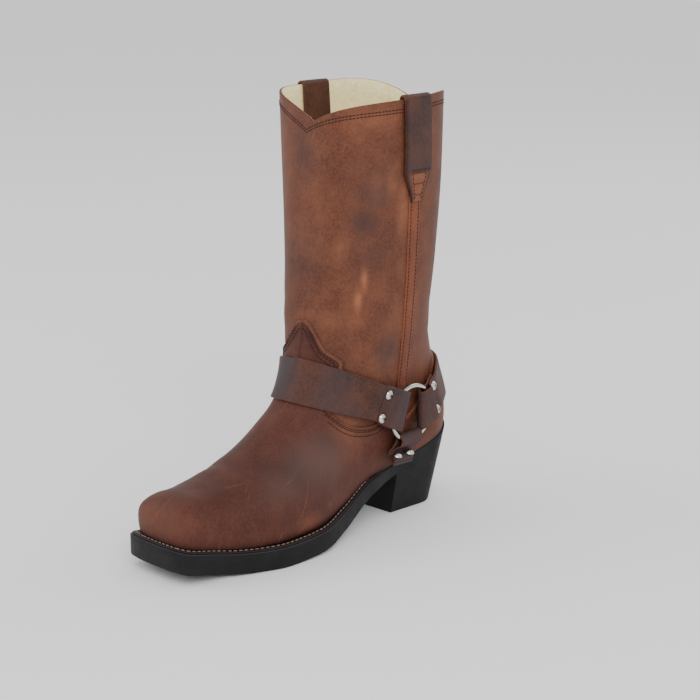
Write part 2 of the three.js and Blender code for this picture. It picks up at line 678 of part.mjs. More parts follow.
function pullStrap(side) {
  const columns = 3;
  const fold = WALL / 2 + CLEARANCE + PULL_THICKNESS / 2 + PULL_SLACK;
  const foldZ = collarHeight(side, Math.PI / 2) - 0.1;
  const stations = [];
  const outerSteps = [0, 0.05, 0.12, 0.24, 0.42, 0.6, 0.8, 1];
  outerSteps.forEach((t) => {
    stations.push({ z: mix(PULL_BOTTOM, foldZ, t), turn: 0, bow: Math.sin(t * Math.PI), t });
  });
  for (let k = 1; k < 6; k += 1) stations.push({ z: foldZ, turn: (k / 6) * Math.PI, bow: 0, t: 1 });
  for (let k = 0; k <= 4; k += 1) {
    stations.push({ z: mix(foldZ, SHAFT_HEIGHT - PULL_INNER_LENGTH, k / 4), turn: Math.PI, bow: 0, t: 1 });
  }
  const grid = (layer) => stations.map(({ z, turn, bow, t }) => {
    const width = mix(SIDE_STRIP_WIDTH + 1, PULL_WIDTH, ease(t / 0.32));
    return Array.from({ length: columns + 1 }, (_, j) => {
      const y = PULL_CENTRE_Y + shiftOf(side) + width * (j / columns - 0.5);
      const wall = sideSurface(side, y, z);
      const n = outwardAt(wall.x, wall.y, wall.z);
      n.z = 0;
      n.normalize();
      const half = PULL_THICKNESS / 2;
      const hug = mix(WALL / 2 + CLEARANCE + half, fold, ease(t / 0.5)) + 1.6 * bow;
      const reach = turn === 0 ? hug : fold;
      const across = (reach + layer * half) * Math.cos(turn) - WALL / 2;
      const up = (fold + layer * half) * Math.sin(turn);
      return wall.addScaledVector(n, across).add(new THREE.Vector3(0, 0, up));
    });
  });
  return facingOut(sheetSolid(grid(1), grid(-1)));
}

[['left', 1], ['right', -1]].forEach(([name, side]) => {
  add(`side_strip_${name}`, sideStrip(side), 'leather');
  add(`pull_strap_${name}`, pullStrap(side), 'strap');
});

// Harness: a ring at each side, three straps folded round each ring

const RING_RADIUS = (RING_DIAMETER - ROD_DIAMETER) / 2;
const ROD = ROD_DIAMETER / 2;
const RING_Z = seatLine(RING_Y) + RING_RISE;
const LEG = ROD + CLEARANCE + STRAP_THICKNESS / 2;   // middle of a strap's leg from the rod's middle
const LEG_GAP = 0.35;
const STRAP_SEAT = OVERLAY + SIDE_STRIP_THICKNESS + 2 * CLEARANCE;   // the strips run under the ends
const RING_STANDOFF = STRAP_SEAT + STRAP_THICKNESS + CLEARANCE + ROD;

// Frame of a ring, laid on the boot's side: middle, outward axis, and axes back and up in its plane.
function ringFrame(side) {
  const reach = RING_RADIUS;
  const at = (dy, dz) => sideSurface(side, RING_Y + dy, RING_Z + dz);
  const back = at(reach, 0).sub(at(-reach, 0));
  const up = at(0, reach).sub(at(0, -reach));
  const out = back.clone().cross(up).multiplyScalar(side).normalize();
  const middle = at(0, 0);
  let high = 0;
  for (let i = -4; i <= 4; i += 1) {
    for (let j = -4; j <= 4; j += 1) {
      const p = at(i * reach / 3.4, j * reach / 3.4);
      high = Math.max(high, p.sub(middle).dot(out));
    }
  }
  middle.addScaledVector(out, high + RING_STANDOFF);
  const backAxis = new THREE.Vector3(0, 1, 0).addScaledVector(out, -out.y).normalize();
  const upAxis = out.clone().cross(backAxis).multiplyScalar(side).normalize();
  return { side, middle, out, back: backAxis, up: upAxis };
}

// Straps on a ring: direction from the ring's middle (degrees above straight back), width, middle
// of the width, slack of the fold on the rod at the two edges, where the rays that follow the boot
// start, and the climb of the two edges round the boot.
const STRAPS = {
  instep: {
    angle: 156, width: INSTEP_STRAP_WIDTH, flare: 0, middle: -0.9, slack: [3, 0.5],
    pivotY: -45, rise: [-0.43, -0.46],
  },
  heel: {
    angle: 20, width: HEEL_STRAP_WIDTH, flare: 0, middle: -4.2, slack: [1.2, 1.3],
    pivotY: -12, rise: [0.26, 0.48],
  },
  sole: { angle: -90, width: SOLE_STRAP_WIDTH, flare: SOLE_STRAP_FLARE, middle: -1.6, slack: [0.4, 0.8] },
};
const POCKET = RING_RADIUS + ROD + CLEARANCE;        // the legs close up beyond the rod
const CLOSED = POCKET + 3.5;
const RIVET_AT = POCKET + 9.6;
const LEG_END = POCKET + 16;
const RIVET_SHARES = [0.2, 0.8];
const COLUMN_SHARES = [0, RIVET_SHARES[0], 0.5, RIVET_SHARES[1], 1];

// Place on a strap end: a out from the ring's middle, share b across from its lower edge, h out
// from the ring's plane. Near the ring the strap is flat, further out it follows the boot.
function strapPlace(frame, strap, a, b, h) {
  const angle = THREE.MathUtils.degToRad(strap.angle);
  const along = frame.back.clone().multiplyScalar(Math.cos(angle)).addScaledVector(frame.up, Math.sin(angle));
  const flip = Math.cos(angle) < -1e-6 ? -1 : 1;
  const across = frame.back.clone().multiplyScalar(-Math.sin(angle) * flip)
    .addScaledVector(frame.up, Math.cos(angle) * flip);
  const width = strap.width + strap.flare * ease((a - POCKET) / 15);
  const offset = strap.middle + width * (b - 0.5);
  const flat = frame.middle.clone().addScaledVector(along, a).addScaledVector(across, offset);
  const onPlane = flat.clone().addScaledVector(frame.out, h);
  const follow = ease((a - POCKET + 1) / 11);
  if (follow === 0) return onPlane;
  const pivotY = strap.pivotY ?? flat.y;
  const ray = new THREE.Vector2(flat.x, flat.y - pivotY).normalize();
  const surface = surfaceFrom(0, pivotY, ray.x, ray.y, () => flat.z);
  const n = outwardAt(surface.x, surface.y, surface.z);
  return onPlane.lerp(surface.addScaledVector(n, h + RING_STANDOFF), follow);
}

// Middle of a fold drawn tight on the rod, this far to the side of the ring's middle.
function foldLine(offset) {
  const reach = Math.sqrt(Math.max(RING_RADIUS ** 2 - offset ** 2, (RING_RADIUS / 5) ** 2));
  return reach - ROD * Math.hypot(1, offset / reach) + LEG - STRAP_THICKNESS / 2 - CLEARANCE;
}

// Rows of a strap end from the tip of its inner leg, round the rod, to the end of its outer leg.
function strapEnd(frame, strap, legEnd, layer) {
  const half = layer * STRAP_THICKNESS / 2;
  const folds = [0, 1].map((b) => foldLine(strap.middle + strap.width * (b - 0.5)) - strap.slack[b]);
  const foldAt = (b) => mix(folds[0], folds[1], b);
  const closing = STRAP_THICKNESS + LEG_GAP - LEG;
  const rows = [];
  const inner = [legEnd, RIVET_AT, CLOSED, POCKET];
  inner.forEach((a) => rows.push(COLUMN_SHARES.map((b) => strapPlace(frame, strap, a, b, -LEG - half))));
  for (let k = 0; k <= 4; k += 1) {
    const turn = (k / 4) * Math.PI;
    const r = LEG + half;
    rows.push(COLUMN_SHARES.map((b) => (
      strapPlace(frame, strap, foldAt(b) - r * Math.sin(turn), b, -r * Math.cos(turn))
    )));
  }
  const outer = [[POCKET, LEG], [CLOSED, closing], [RIVET_AT, closing], [legEnd, closing]];
  outer.forEach(([a, h]) => rows.push(COLUMN_SHARES.map((b) => strapPlace(frame, strap, a, b, h + half))));
  return rows;
}

// Rows from the end of a strap's outer leg round the boot to its middle plane.
function strapRun(frame, strap, layer) {
  const half = layer * STRAP_THICKNESS / 2;
  const resting = OVERLAY + 3.3 * CLEARANCE + STRAP_THICKNESS / 2;
  const raised = RING_STANDOFF - LEG + STRAP_THICKNESS + LEG_GAP;
  const starts = COLUMN_SHARES.map((b) => strapPlace(frame, strap, LEG_END, b, 0));
  const ahead = strap.pivotY < RING_Y ? -1 : 1;
  const steps = 9;
  const rows = [];
  for (let k = 1; k <= steps; k += 1) {
    const lift = mix(raised, resting, ease(k / 3)) + half;
    rows.push(COLUMN_SHARES.map((b, j) => {
      const start = starts[j];
      const full = Math.atan2(Math.abs(start.x), ahead * (start.y - strap.pivotY));
      const angle = full * (1 - k / steps);
      const rise = mix(strap.rise[0], strap.rise[1], b);
      const heightAt = (x, y) => start.z + rise * (y - start.y);
      const p = surfaceFrom(0, strap.pivotY, frame.side * Math.sin(angle), ahead * Math.cos(angle), heightAt);
      const n = outwardAt(p.x, p.y, p.z);
      if (k === steps) n.setX(0).normalize();
      return p.addScaledVector(n, lift);
    }));
  }
  return rows;
}

const frames = { left: ringFrame(1), right: ringFrame(-1) };

function harnessStrap(strap) {
  const grid = (layer) => {
    const halves = [frames.left, frames.right].map((frame) => (
      strapEnd(frame, strap, LEG_END, layer).concat(strapRun(frame, strap, layer))
    ));
    return halves[0].concat(halves[1].slice(0, -1).reverse());
  };
  return facingOut(sheetSolid(grid(1), grid(-1)));
}

const SOLE_STRAP_END = RING_Z - seatLine(RING_Y) - SOLE_STRAP_LIFT;

function soleStrap(frame) {
  const grid = (layer) => strapEnd(frame, STRAPS.sole, SOLE_STRAP_END, layer);
  return facingOut(sheetSolid(grid(1), grid(-1)));
}

// Seat of a rivet on a strap end: its axis, and where the cap clears the faces round it.
function rivetSeat(frame, strap, legEnd, a, b) {
  const h = STRAP_THICKNESS + LEG_GAP - LEG + STRAP_THICKNESS / 2;
  const at = strapPlace(frame, strap, a, b, h);
  const u = strapPlace(frame, strap, a + 4, b, h).sub(strapPlace(frame, strap, a - 4, b, h));
  const v = strapPlace(frame, strap, a, b + 0.15, h).sub(strapPlace(frame, strap, a, b - 0.15, h));
  const axis = u.cross(v).normalize();
  if (axis.dot(frame.out) < 0) axis.negate();
  const under = [CLOSED, legEnd].flatMap((end) => [-0.16, 0, 0.16].map((db) => {
    const near = strapPlace(frame, strap, a, b + db, h);
    const far = strapPlace(frame, strap, end, b + db, h);
    return near.lerp(far, RIVET_DIAMETER / 2 / Math.abs(end - a)).sub(at).dot(axis);
  }));
  return { at: at.addScaledVector(axis, Math.max(0, ...under)), axis };
}

function standing(geometry, seat) {
  const turn = new THREE.Quaternion().setFromUnitVectors(new THREE.Vector3(0, 1, 0), seat.axis);
  geometry.applyQuaternion(turn);
  geometry.translate(seat.at.x, seat.at.y, seat.at.z);
  return geometry;
}

const RIVET_SIDES = 8;
const HOLE_SIDES = 6;
const SHANK_LENGTH = 2 * STRAP_THICKNESS + LEG_GAP - 0.3;
function rivet(seat) {
  const radius = RIVET_DIAMETER / 2;
  const dome = [[0, 1], [0.65, 0.72], [1, 0]];
  const profile = dome.map(([r, rise]) => new THREE.Vector2(r * radius, RIVET_CLEARANCE + rise * RIVET_RISE));
  profile.push(new THREE.Vector2(RIVET_SHANK / 2, RIVET_CLEARANCE));
  profile.push(new THREE.Vector2(RIVET_SHANK / 2, -SHANK_LENGTH), new THREE.Vector2(0, -SHANK_LENGTH));
  const turned = new THREE.LatheGeometry(profile, RIVET_SIDES);
  return standing(facingOut(fromManifold(toManifold(facingOut(turned)))), seat);
}

function rivetHole(seat) {
  const radius = (RIVET_SHANK / 2 + CLEARANCE) / Math.cos(Math.PI / HOLE_SIDES);
  const hole = new THREE.CylinderGeometry(radius, radius, 8 * STRAP_THICKNESS, HOLE_SIDES);
  return toManifold(standing(hole, seat));
}

const LEG_ENDS = { instep: LEG_END, heel: LEG_END, sole: SOLE_STRAP_END };

function seatsOf(name, side) {
  const end = LEG_ENDS[name];
  const at = Math.min(RIVET_AT, end - RIVET_DIAMETER / 2 - 0.8);
  return RIVET_SHARES.map((b) => rivetSeat(frames[side], STRAPS[name], end, at, b));
}

const drilled = (geometry, seats) => {
  const solid = seats.reduce((rest, seat) => rest.subtract(rivetHole(seat)), toManifold(geometry));
  return fromManifold(solid);
};

['instep', 'heel'].forEach((name) => {
  const seats = [...seatsOf(name, 'left'), ...seatsOf(name, 'right')];
  add(`${name}_strap`, drilled(harnessStrap(STRAPS[name]), seats), 'strap');
});

Object.entries(frames).forEach(([side, frame]) => {
  add(`sole_strap_${side}`, drilled(soleStrap(frame), seatsOf('sole', side)), 'strap');
  const torus = new THREE.TorusGeometry(RING_RADIUS, ROD, 8, 28);
  const turn = new THREE.Quaternion().setFromUnitVectors(new THREE.Vector3(0, 0, 1), frame.out);
  torus.applyQuaternion(turn).translate(frame.middle.x, frame.middle.y, frame.middle.z);
  add(`ring_${side}`, fromManifold(toManifold(torus)), 'steel');
  Object.keys(LEG_ENDS).forEach((name) => {
    seatsOf(name, side).forEach((seat, k) => add(`rivet_${name}_${side}_${k + 1}`, rivet(seat), 'steel'));
  });
});

export default group;
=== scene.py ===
# Dressed harness boot: the CAD's own form functions, drawn finer, with leather, stitches and wear.
# Maths in millimetres in the row frame, meshes in metres.

import math

import bpy
import numpy as np
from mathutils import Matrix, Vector


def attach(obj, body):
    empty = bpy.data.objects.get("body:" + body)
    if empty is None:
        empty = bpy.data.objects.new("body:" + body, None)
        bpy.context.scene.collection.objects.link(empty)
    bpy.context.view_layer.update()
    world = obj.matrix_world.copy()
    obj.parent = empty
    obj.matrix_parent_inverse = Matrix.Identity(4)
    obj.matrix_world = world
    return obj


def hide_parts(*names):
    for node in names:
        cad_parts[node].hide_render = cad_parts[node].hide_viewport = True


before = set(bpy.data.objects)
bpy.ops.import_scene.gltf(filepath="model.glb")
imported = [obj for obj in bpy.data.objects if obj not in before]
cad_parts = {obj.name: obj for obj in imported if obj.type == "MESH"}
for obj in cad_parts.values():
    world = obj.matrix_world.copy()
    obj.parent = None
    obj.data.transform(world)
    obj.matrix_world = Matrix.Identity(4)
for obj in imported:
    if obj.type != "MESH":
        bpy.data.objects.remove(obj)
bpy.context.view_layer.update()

# Sizes of the solids

SOLE_LENGTH, HEEL_OVERHANG, BALL_WIDTH = 306, 45, 108
SEAT_HEIGHT, FOREPART_HEIGHT, TOE_SPRING, TOE_THICKENING = 67, 18, 11, 1
WELT_THICKNESS, SHANK_THICKNESS, WELT_MARGIN, SEAT_MARGIN = 3.4, 9.5, 7, 4.5
HEEL_BREAST_Y, HEEL_FACE_FRONT_Y, HEEL_FACE_BACK_Y, HEEL_FACE_WIDTH = -28, -32, 27, 62
INSTEP_RISE, BOX_DEPTH = 126, 13
SHAFT_HEIGHT, SHAFT_WIDTH, SHAFT_DEPTH = 350, 118, 128
SHAFT_CENTRE_Y, SHAFT_CENTRE_X = -34, -1.5
COLLAR_TILT, COLLAR_LEAN, FRONT_DIP, BACK_DIP = 2, 3, 16, 20
SCALLOP_POWER, SCALLOP_TURN = 3.5, 0.08
ANKLE_HEIGHT, ANKLE_BLEND = 125, 26
WALL, OVERLAY, CLEARANCE = 2.4, 1.3, 0.3
STRIP_WIDTH, STRIP_THICKNESS, SEAM_Y, SEAM_FOOT_Y = 12.5, 1.2, -34.5, -29
PULL_WIDTH, PULL_THICKNESS, PULL_OUTER, PULL_INNER = 29.5, 2.4, 83, 58
PULL_CENTRE_Y, PULL_SLACK, INNER_SHIFT = -33.5, 0.3, 8.5
STRAP_THICKNESS, SOLE_STRAP_LIFT = 2.4, 4
RING_DIAMETER, ROD_DIAMETER, RING_Y, RING_RISE = 50, 4, -27, 43.4
RIVET_DIAMETER, RIVET_RISE = 8.4, 2.2
WELT_INSIDE = 13.5
CORE_Y, WAIST_Y, TUCK = -20, -60, 0.07
HEEL_END, TOE_END, TOE_BOX_END = (31, 2.3), (10, 2.7), (24, 2.25)
COUNTER_END, BULGE_END = (20, 2.2), (20, 2)
SHAFT_ROUNDNESS = 2.3
COLLAR_SAG = 2.6       # the worn inner side of the collar hangs this much lower
HEEL_CUP = 4.5         # the feather line climbs round the back of the heel

HEEL_Y = HEEL_OVERHANG
TOE_Y = HEEL_OVERHANG - SOLE_LENGTH
HALF_BALL = BALL_WIDTH / 2

OUTLINE = (  # share along, outer and inner half width
    (0.00, 0.71, 0.68), (0.12, 0.68, 0.66), (0.25, 0.64, 0.60), (0.37, 0.73, 0.62),
    (0.49, 0.88, 0.74), (0.60, 1.02, 0.89), (0.71, 1.00, 0.98), (0.80, 0.84, 0.97),
    (0.90, 0.62, 0.85), (1.00, 0.53, 0.73),
)
SIDE_LINE = (  # share along, seat, spring
    (0.00, 1.000, 0.00), (0.13, 0.740, 0.00), (0.25, 0.575, 0.00), (0.37, 0.430, 0.00),
    (0.43, 0.302, 0.00), (0.49, 0.172, 0.00), (0.57, 0.060, 0.00), (0.64, 0.015, 0.00),
    (0.71, 0.000, 0.00), (0.76, 0.000, 0.00), (0.84, 0.000, 0.11), (0.91, 0.000, 0.45),
    (1.00, 0.000, 1.00),
)
FOOT_SECTIONS = (  # share along, top, roundness, bulge
    (0.00, 0.230, 2.0, 0.03), (0.10, 0.590, 2.0, 0.05), (0.30, 0.890, 2.0, 0.07),
    (0.42, 0.925, 2.0, 0.06), (0.50, 0.810, 1.95, 0.05), (0.58, 0.662, 1.95, 0.03),
    (0.66, 0.510, 2.0, 0.03), (0.74, 0.403, 2.15, 0.04), (0.82, 0.338, 2.3, 0.05),
    (0.90, 0.300, 2.4, 0.05), (0.96, 0.288, 2.5, 0.04), (1.00, 0.292, 2.5, 0.04),
)
SHAFT_SECTIONS = (  # share of the height, front, back, outer, inner
    (0.16, 0.41, 1.03, 0.44, 0.43), (0.21, 0.56, 1.00, 0.49, 0.47), (0.27, 0.78, 0.96, 0.53, 0.51),
    (0.36, 1.04, 0.92, 0.66, 0.68), (0.46, 1.09, 0.91, 0.79, 0.84), (0.63, 1.04, 0.97, 0.89, 0.92),
    (0.83, 0.98, 1.02, 0.95, 1.06), (1.00, 0.97, 1.04, 0.96, 1.13),
)
VAMP_EDGE = (  # share along, share of the instep's rise
    (1.10, 0.89), (0.525, 0.89), (0.508, 0.85), (0.490, 0.80), (0.466, 0.745), (0.435, 0.706),
    (0.402, 0.683), (0.363, 0.668), (0.333, 0.675), (0.305, 0.72), (0.28, 0.80), (0.245, 0.84),
)
COUNTER_EDGE = (
    (0.242, 0.64), (0.195, 0.71), (0.135, 0.86), (0.09, 0.985), (0.055, 1.05), (-0.05, 1.095),
)
TONGUE_EDGE = (  # share of half the ball width, share of the instep's rise
    (0.81, 0.83), (0.70, 0.90), (0.57, 1.09), (0.58, 1.13), (0.53, 1.16), (0.39, 1.20),
    (0.30, 1.25), (0.21, 1.31), (0.12, 1.36), (0.055, 1.375),
)


# Small maths


def mix(a, b, t):
    return a + (b - a) * t


def ease(t):
    s = np.clip(t, 0, 1)
    return s * s * (3 - 2 * s)


def curve_through(rows, column):
    """The solids' own smooth curve through a column, as a fine table."""
    x, y = np.array([(row[0], row[column]) for row in rows], float).T
    step = np.diff(x)
    slope = np.diff(y) / step
    tangent = np.concatenate((slope[:1], 0 * slope[1:], slope[-1:]))
    for i in range(1, len(x) - 1):
        if slope[i - 1] * slope[i] > 0:
            before, after = 2 * step[i] + step[i - 1], step[i] + 2 * step[i - 1]
            tangent[i] = (before + after) / (before / slope[i - 1] + after / slope[i])
    fine = np.linspace(x[0], x[-1], 2000)
    i = np.clip(np.searchsorted(x, fine) - 1, 0, len(x) - 2)
    h = step[i]
    s = (fine - x[i]) / h
    r = 1 - s
    value = (
        y[i] * (1 + 2 * s) * r * r + tangent[i] * h * s * r * r
        + y[i + 1] * s * s * (3 - 2 * s) - tangent[i + 1] * h * s * s * r
    )
    return lambda t: np.interp(t, fine, value)


def end_round(distance, end):
    zone, power = end
    t = np.clip(1 - distance / zone, 0, 1)
    return (1 - t**power) ** (1 / power)


outline_outer, outline_inner = curve_through(OUTLINE, 1), curve_through(OUTLINE, 2)
seat_share, spring_share = curve_through(SIDE_LINE, 1), curve_through(SIDE_LINE, 2)
foot_top, foot_round, foot_bulge = (curve_through(FOOT_SECTIONS, c) for c in (1, 2, 3))
shaft_front, shaft_back, shaft_outer, shaft_inner = (
    curve_through(SHAFT_SECTIONS, c) for c in (1, 2, 3, 4)
)


# Form of the boot


def share_along(y):
    return (HEEL_Y - y) / SOLE_LENGTH


def half_width(y, side, inset=0):
    at = share_along(y)
    width = np.where(side > 0, outline_outer(at), outline_inner(at)) * HALF_BALL - inset
    return width * end_round(HEEL_Y - inset - y, HEEL_END) * end_round(y - TOE_Y - inset, TOE_END)


def seat_line(y):
    at = share_along(y)
    seat = (SEAT_HEIGHT - FOREPART_HEIGHT) * seat_share(at)
    cup = HEEL_CUP * ease((y - 22) / 23)
    return FOREPART_HEIGHT + seat + TOE_SPRING * spring_share(at) + cup


def underside(y):
    at = share_along(y)
    forepart = FOREPART_HEIGHT - WELT_THICKNESS
    thickness = mix(forepart, SHANK_THICKNESS, ease(seat_share(at) / 0.6))
    return seat_line(y) - WELT_THICKNESS - thickness - TOE_THICKENING * spring_share(at)


def margin_at(y):
    return mix(WELT_MARGIN, SEAT_MARGIN, ease((y - WAIST_Y) / 50))


def foot_field(x, y, z):
    at = np.clip(share_along(y), 0, 1)
    box_front = TOE_Y + WELT_MARGIN
    counter_back = HEEL_Y - SEAT_MARGIN
    bulge = foot_bulge(at) * HALF_BALL * end_round(y - box_front, BULGE_END)
    bulge = bulge * end_round(counter_back - y, HEEL_END)
    width = np.maximum(half_width(y, x, margin_at(y)) + bulge, 0.05)
    widest = seat_line(y) + BOX_DEPTH
    ends = end_round(y - box_front, TOE_BOX_END) * end_round(counter_back - y, COUNTER_END)
    crown = np.maximum((foot_top(at) * INSTEP_RISE - BOX_DEPTH) * ends, 0.05)
    power = foot_round(at)
    across = np.abs(x) / width
    above = (across**power + (np.maximum(z - widest, 0) / crown) ** power) ** (1 / power)
    tuck = np.clip((widest - z) / BOX_DEPTH, 0, 1.5)
    reach = np.where(z < widest, across / (1 - TUCK * tuck * tuck), above)
    beyond = np.maximum(box_front - y, 0) + np.maximum(y - counter_back, 0)
    return (reach - 1) * np.minimum(width, crown) + 3 * beyond


def shaft_field(x, y, z):
    at = z / SHAFT_HEIGHT
    front = SHAFT_CENTRE_Y - shaft_front(at) * SHAFT_DEPTH / 2
    back = SHAFT_CENTRE_Y + shaft_back(at) * SHAFT_DEPTH / 2
    middle, half_depth = (front + back) / 2, (back - front) / 2
    lean = SHAFT_CENTRE_X * ease((z - ANKLE_HEIGHT) / 60)
    across = np.where(x >= lean, shaft_outer(at), shaft_inner(at)) * SHAFT_WIDTH / 2
    n = SHAFT_ROUNDNESS
    reach = ((np.abs(x - lean) / across) ** n + (np.abs(y - middle) / half_depth) ** n) ** (1 / n)
    return (reach - 1) * np.minimum(across, half_depth)


def boot_field(x, y, z):
    a, b = foot_field(x, y, z), shaft_field(x, y, z)
    h = np.maximum(ANKLE_BLEND - np.abs(a - b), 0) / ANKLE_BLEND
    return np.minimum(a, b) - h * h * ANKLE_BLEND / 4


def unit(v):
    return v / np.maximum(np.linalg.norm(v, axis=-1, keepdims=True), 1e-9)


def outward(p):
    d = 0.4
    x, y, z = p[..., 0], p[..., 1], p[..., 2]
    return unit(np.stack((
        boot_field(x + d, y, z) - boot_field(x - d, y, z),
        boot_field(x, y + d, z) - boot_field(x, y - d, z),
        boot_field(x, y, z + d) - boot_field(x, y, z - d),
    ), -1))


def surface_from(x, y, dx, dy, height_at, reach=260):
    """Points of the surface from (x, y) along (dx, dy), at the height height_at gives."""
    x, y, dx, dy = np.broadcast_arrays(*(np.asarray(v, float) for v in (x, y, dx, dy)))
    low, high = np.zeros(x.shape), np.full(x.shape, float(reach))
    for _ in range(32):
        middle = (low + high) / 2
        px, py = x + middle * dx, y + middle * dy
        inside = boot_field(px, py, height_at(px, py)) < 0
        low, high = np.where(inside, middle, low), np.where(inside, high, middle)
    r = (low + high) / 2
    px, py = x + r * dx, y + r * dy
    return np.stack((px, py, height_at(px, py) + 0 * px), -1)


def side_surface(side, y, z):
    return surface_from(0, y, side, 0, lambda px, py: np.asarray(z, float))


def collar_height(side, angle, turn=SCALLOP_TURN):
    from_front = np.clip(np.abs(angle - turn * side) / (np.pi / 2), 0, 1)
    from_back = np.clip((np.pi - angle) / (np.pi / 2), 0, 1)
    dip = FRONT_DIP * (1 - from_front) ** SCALLOP_POWER + BACK_DIP * (1 - from_back) ** SCALLOP_POWER
    tilt = COLLAR_TILT * side * np.sin(angle)
    sag = np.where(np.asarray(side) < 0, COLLAR_SAG * np.exp(-((angle - 1.7) / 0.5) ** 2), 0)
    return SHAFT_HEIGHT - tilt - COLLAR_LEAN * np.cos(angle) - dip - sag


def level_height(level, y, collar):
    low, high = np.minimum(level, 1), np.maximum(level - 1, 0)
    welt = seat_line(y) + 1.7 * CLEARANCE
    return (1 - low) * welt + low * ANKLE_HEIGHT + (collar - ANKLE_HEIGHT) * high


def ring_grid(levels):
    """Points and outward directions of the rings at these levels: (levels, points, 3) each."""
    level = np.asarray(levels, float)[:, None]
    flat = lambda px, py: level_height(level, py, SHAFT_HEIGHT)
    front = surface_from(0 * level, CORE_Y, 0, -1, flat)[..., 1]
    back = surface_from(0 * level, CORE_Y, 0, 1, flat, 90)[..., 1]
    start = front + np.minimum(TOE_BOX_END[0], (back - front) * 0.4)
    end = back - np.minimum(HEEL_END[0], (back - front) * 0.4)
    toe, along, heel = COUNTS
    share = np.concatenate((np.zeros(toe + 1), np.arange(1, along) / along, np.ones(heel + 1)))
    quarters = np.concatenate((np.arange(toe) / toe, np.ones(along), 1 + np.arange(heel + 1) / heel))
    y = mix(start, end, share)
    dx, dy = np.sin(quarters * np.pi / 2), -np.cos(quarters * np.pi / 2)
    halves = []
    for side in (1, -1):
        rough = surface_from(0 * y, y, side * dx, dy, flat)
        angle = np.abs(np.arctan2(rough[..., 0] - SHAFT_CENTRE_X, -(rough[..., 1] - SHAFT_CENTRE_Y)))
        collar = np.where(level > 1, collar_height(side, angle), SHAFT_HEIGHT)
        p = surface_from(0 * y, y, side * dx, dy, lambda px, py: level_height(level, py, collar))
        n = outward(p)
        n[..., 2] *= ease(level / 0.08) * ease((2 - level) / 0.1)
        n[:, [0, -1], 0] = 0
        halves.append((p, unit(n)))
    join = lambda k: np.concatenate((halves[0][k], halves[1][k][:, -2:0:-1]), 1)
    return join(0), join(1)


# Meshes


def make_mesh(name, points, faces, materials, node=None, attributes=None, indices=None):
    """A piece of the boot from points in millimetres, riding on the root."""
    mesh = bpy.data.meshes.new(name)
    mesh.from_pydata((np.asarray(points, float) / 1000).tolist(), [], [tuple(f) for f in faces])
    mesh.update()
    for material in materials:
        mesh.materials.append(material)
    if indices is not None:
        mesh.polygons.foreach_set("material_index", indices)
    mesh.polygons.foreach_set("use_smooth", np.full(len(mesh.polygons), True))
    for key, values in (attributes or {}).items():
        layer = mesh.attributes.new(key, "FLOAT", "POINT")
        layer.data.foreach_set("value", np.asarray(values, np.float32).ravel())
    obj = bpy.data.objects.new(name, mesh)
    bpy.context.scene.collection.objects.link(obj)
    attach(obj, "root")
    if node:
        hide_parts(node)
    return obj


def grid_faces(rows, columns, wrap_rows=False, wrap_columns=False, start=0):
    i = np.arange(rows if wrap_rows else rows - 1)
    j = np.arange(columns if wrap_columns else columns - 1)
    i, j = np.meshgrid(i, j, indexing="ij")
    i2, j2 = (i + 1) % rows, (j + 1) % columns
    quads = np.stack((i * columns + j, i * columns + j2, i2 * columns + j2, i2 * columns + j), -1)
    return (quads.reshape(-1, 4) + start).tolist()


def end_caps(rows, columns, half, shift):
    """Rungs across the first and the last ring, from each point to the one that mirrors it."""
    faces = []
    for row in (0, rows - 1):
        base = row * columns
        for j in range(half - 1):
            left, next_left = (columns - shift - j) % columns, (columns - shift - j - 1) % columns
            quad = list(dict.fromkeys((base + j, base + j + 1, base + next_left, base + left)))
            if len(quad) > 2:
                faces.append(tuple(quad if row else quad[::-1]))
    return faces


def dress(node, points, faces, material, attributes):
    """A closed piece in place of a node, its faces turned so that it has positive volume."""
    fans = np.array([(f[0], f[k], f[k + 1]) for f in faces for k in range(1, len(f) - 1)])
    a, b, c = (points[fans[:, k]] for k in range(3))
    if np.sum(a * np.cross(b, c)) < 0:
        faces = [f[::-1] for f in faces]
    return make_mesh(f"{node}_dressed", points, faces, [material], node, attributes)


def run_of(points):
    """Length walked along a polyline at each of its points."""
    return np.concatenate(([0], np.cumsum(np.linalg.norm(np.diff(points, axis=0), axis=1))))


def resampled(points, pitch):
    """Points and tangents evenly spaced by about pitch along a polyline."""
    length = run_of(points)
    count = max(int(length[-1] / pitch), 1)
    at = (np.arange(count) + 0.5) * length[-1] / count
    place = lambda s: np.stack([np.interp(s, length, points[:, k]) for k in range(3)], 1)
    return place(at), unit(place(at + 0.3) - place(at - 0.3))


def stitch_shape():
    """A stitch along x with z up, one unit long and wide: rings of an ellipsoid with blunt ends."""
    sides, along = 6, ((-0.5, 0.35), (-0.38, 0.85), (0, 1.0), (0.38, 0.85), (0.5, 0.35))
    turns = [k / sides * 2 * math.pi for k in range(sides)]
    points = [(x, 0.5 * r * math.cos(a), 0.5 * r * math.sin(a)) for x, r in along for a in turns]
    faces = grid_faces(len(along), sides, wrap_columns=True)
    faces += [tuple(range(sides))[::-1], tuple(range(len(points) - sides, len(points)))]
    return np.array(points), faces


STITCH_POINTS, STITCH_FACES = stitch_shape()


def stitches(name, paths, pitch, length, width, material, normal_at=outward, sink=0.25):
    """One piece of many stitches along paths on a surface."""
    points, faces, base = [], [], 0
    s = STITCH_POINTS
    for path in paths:
        q, t = resampled(path, pitch)
        n = normal_at(q)
        n = unit(n - t * np.sum(n * t, -1, keepdims=True))
        for centre, tangent, normal, across in zip(q, t, n, np.cross(n, t)):
            points.append(
                centre + normal * (width * (0.5 - sink)) + s[:, :1] * length * tangent
                + s[:, 1:2] * width * across + s[:, 2:] * width * 0.8 * normal)
            faces += [tuple(i + base for i in f) for f in STITCH_FACES]
            base += len(s)
    make_mesh(name, np.concatenate(points), faces, [material])


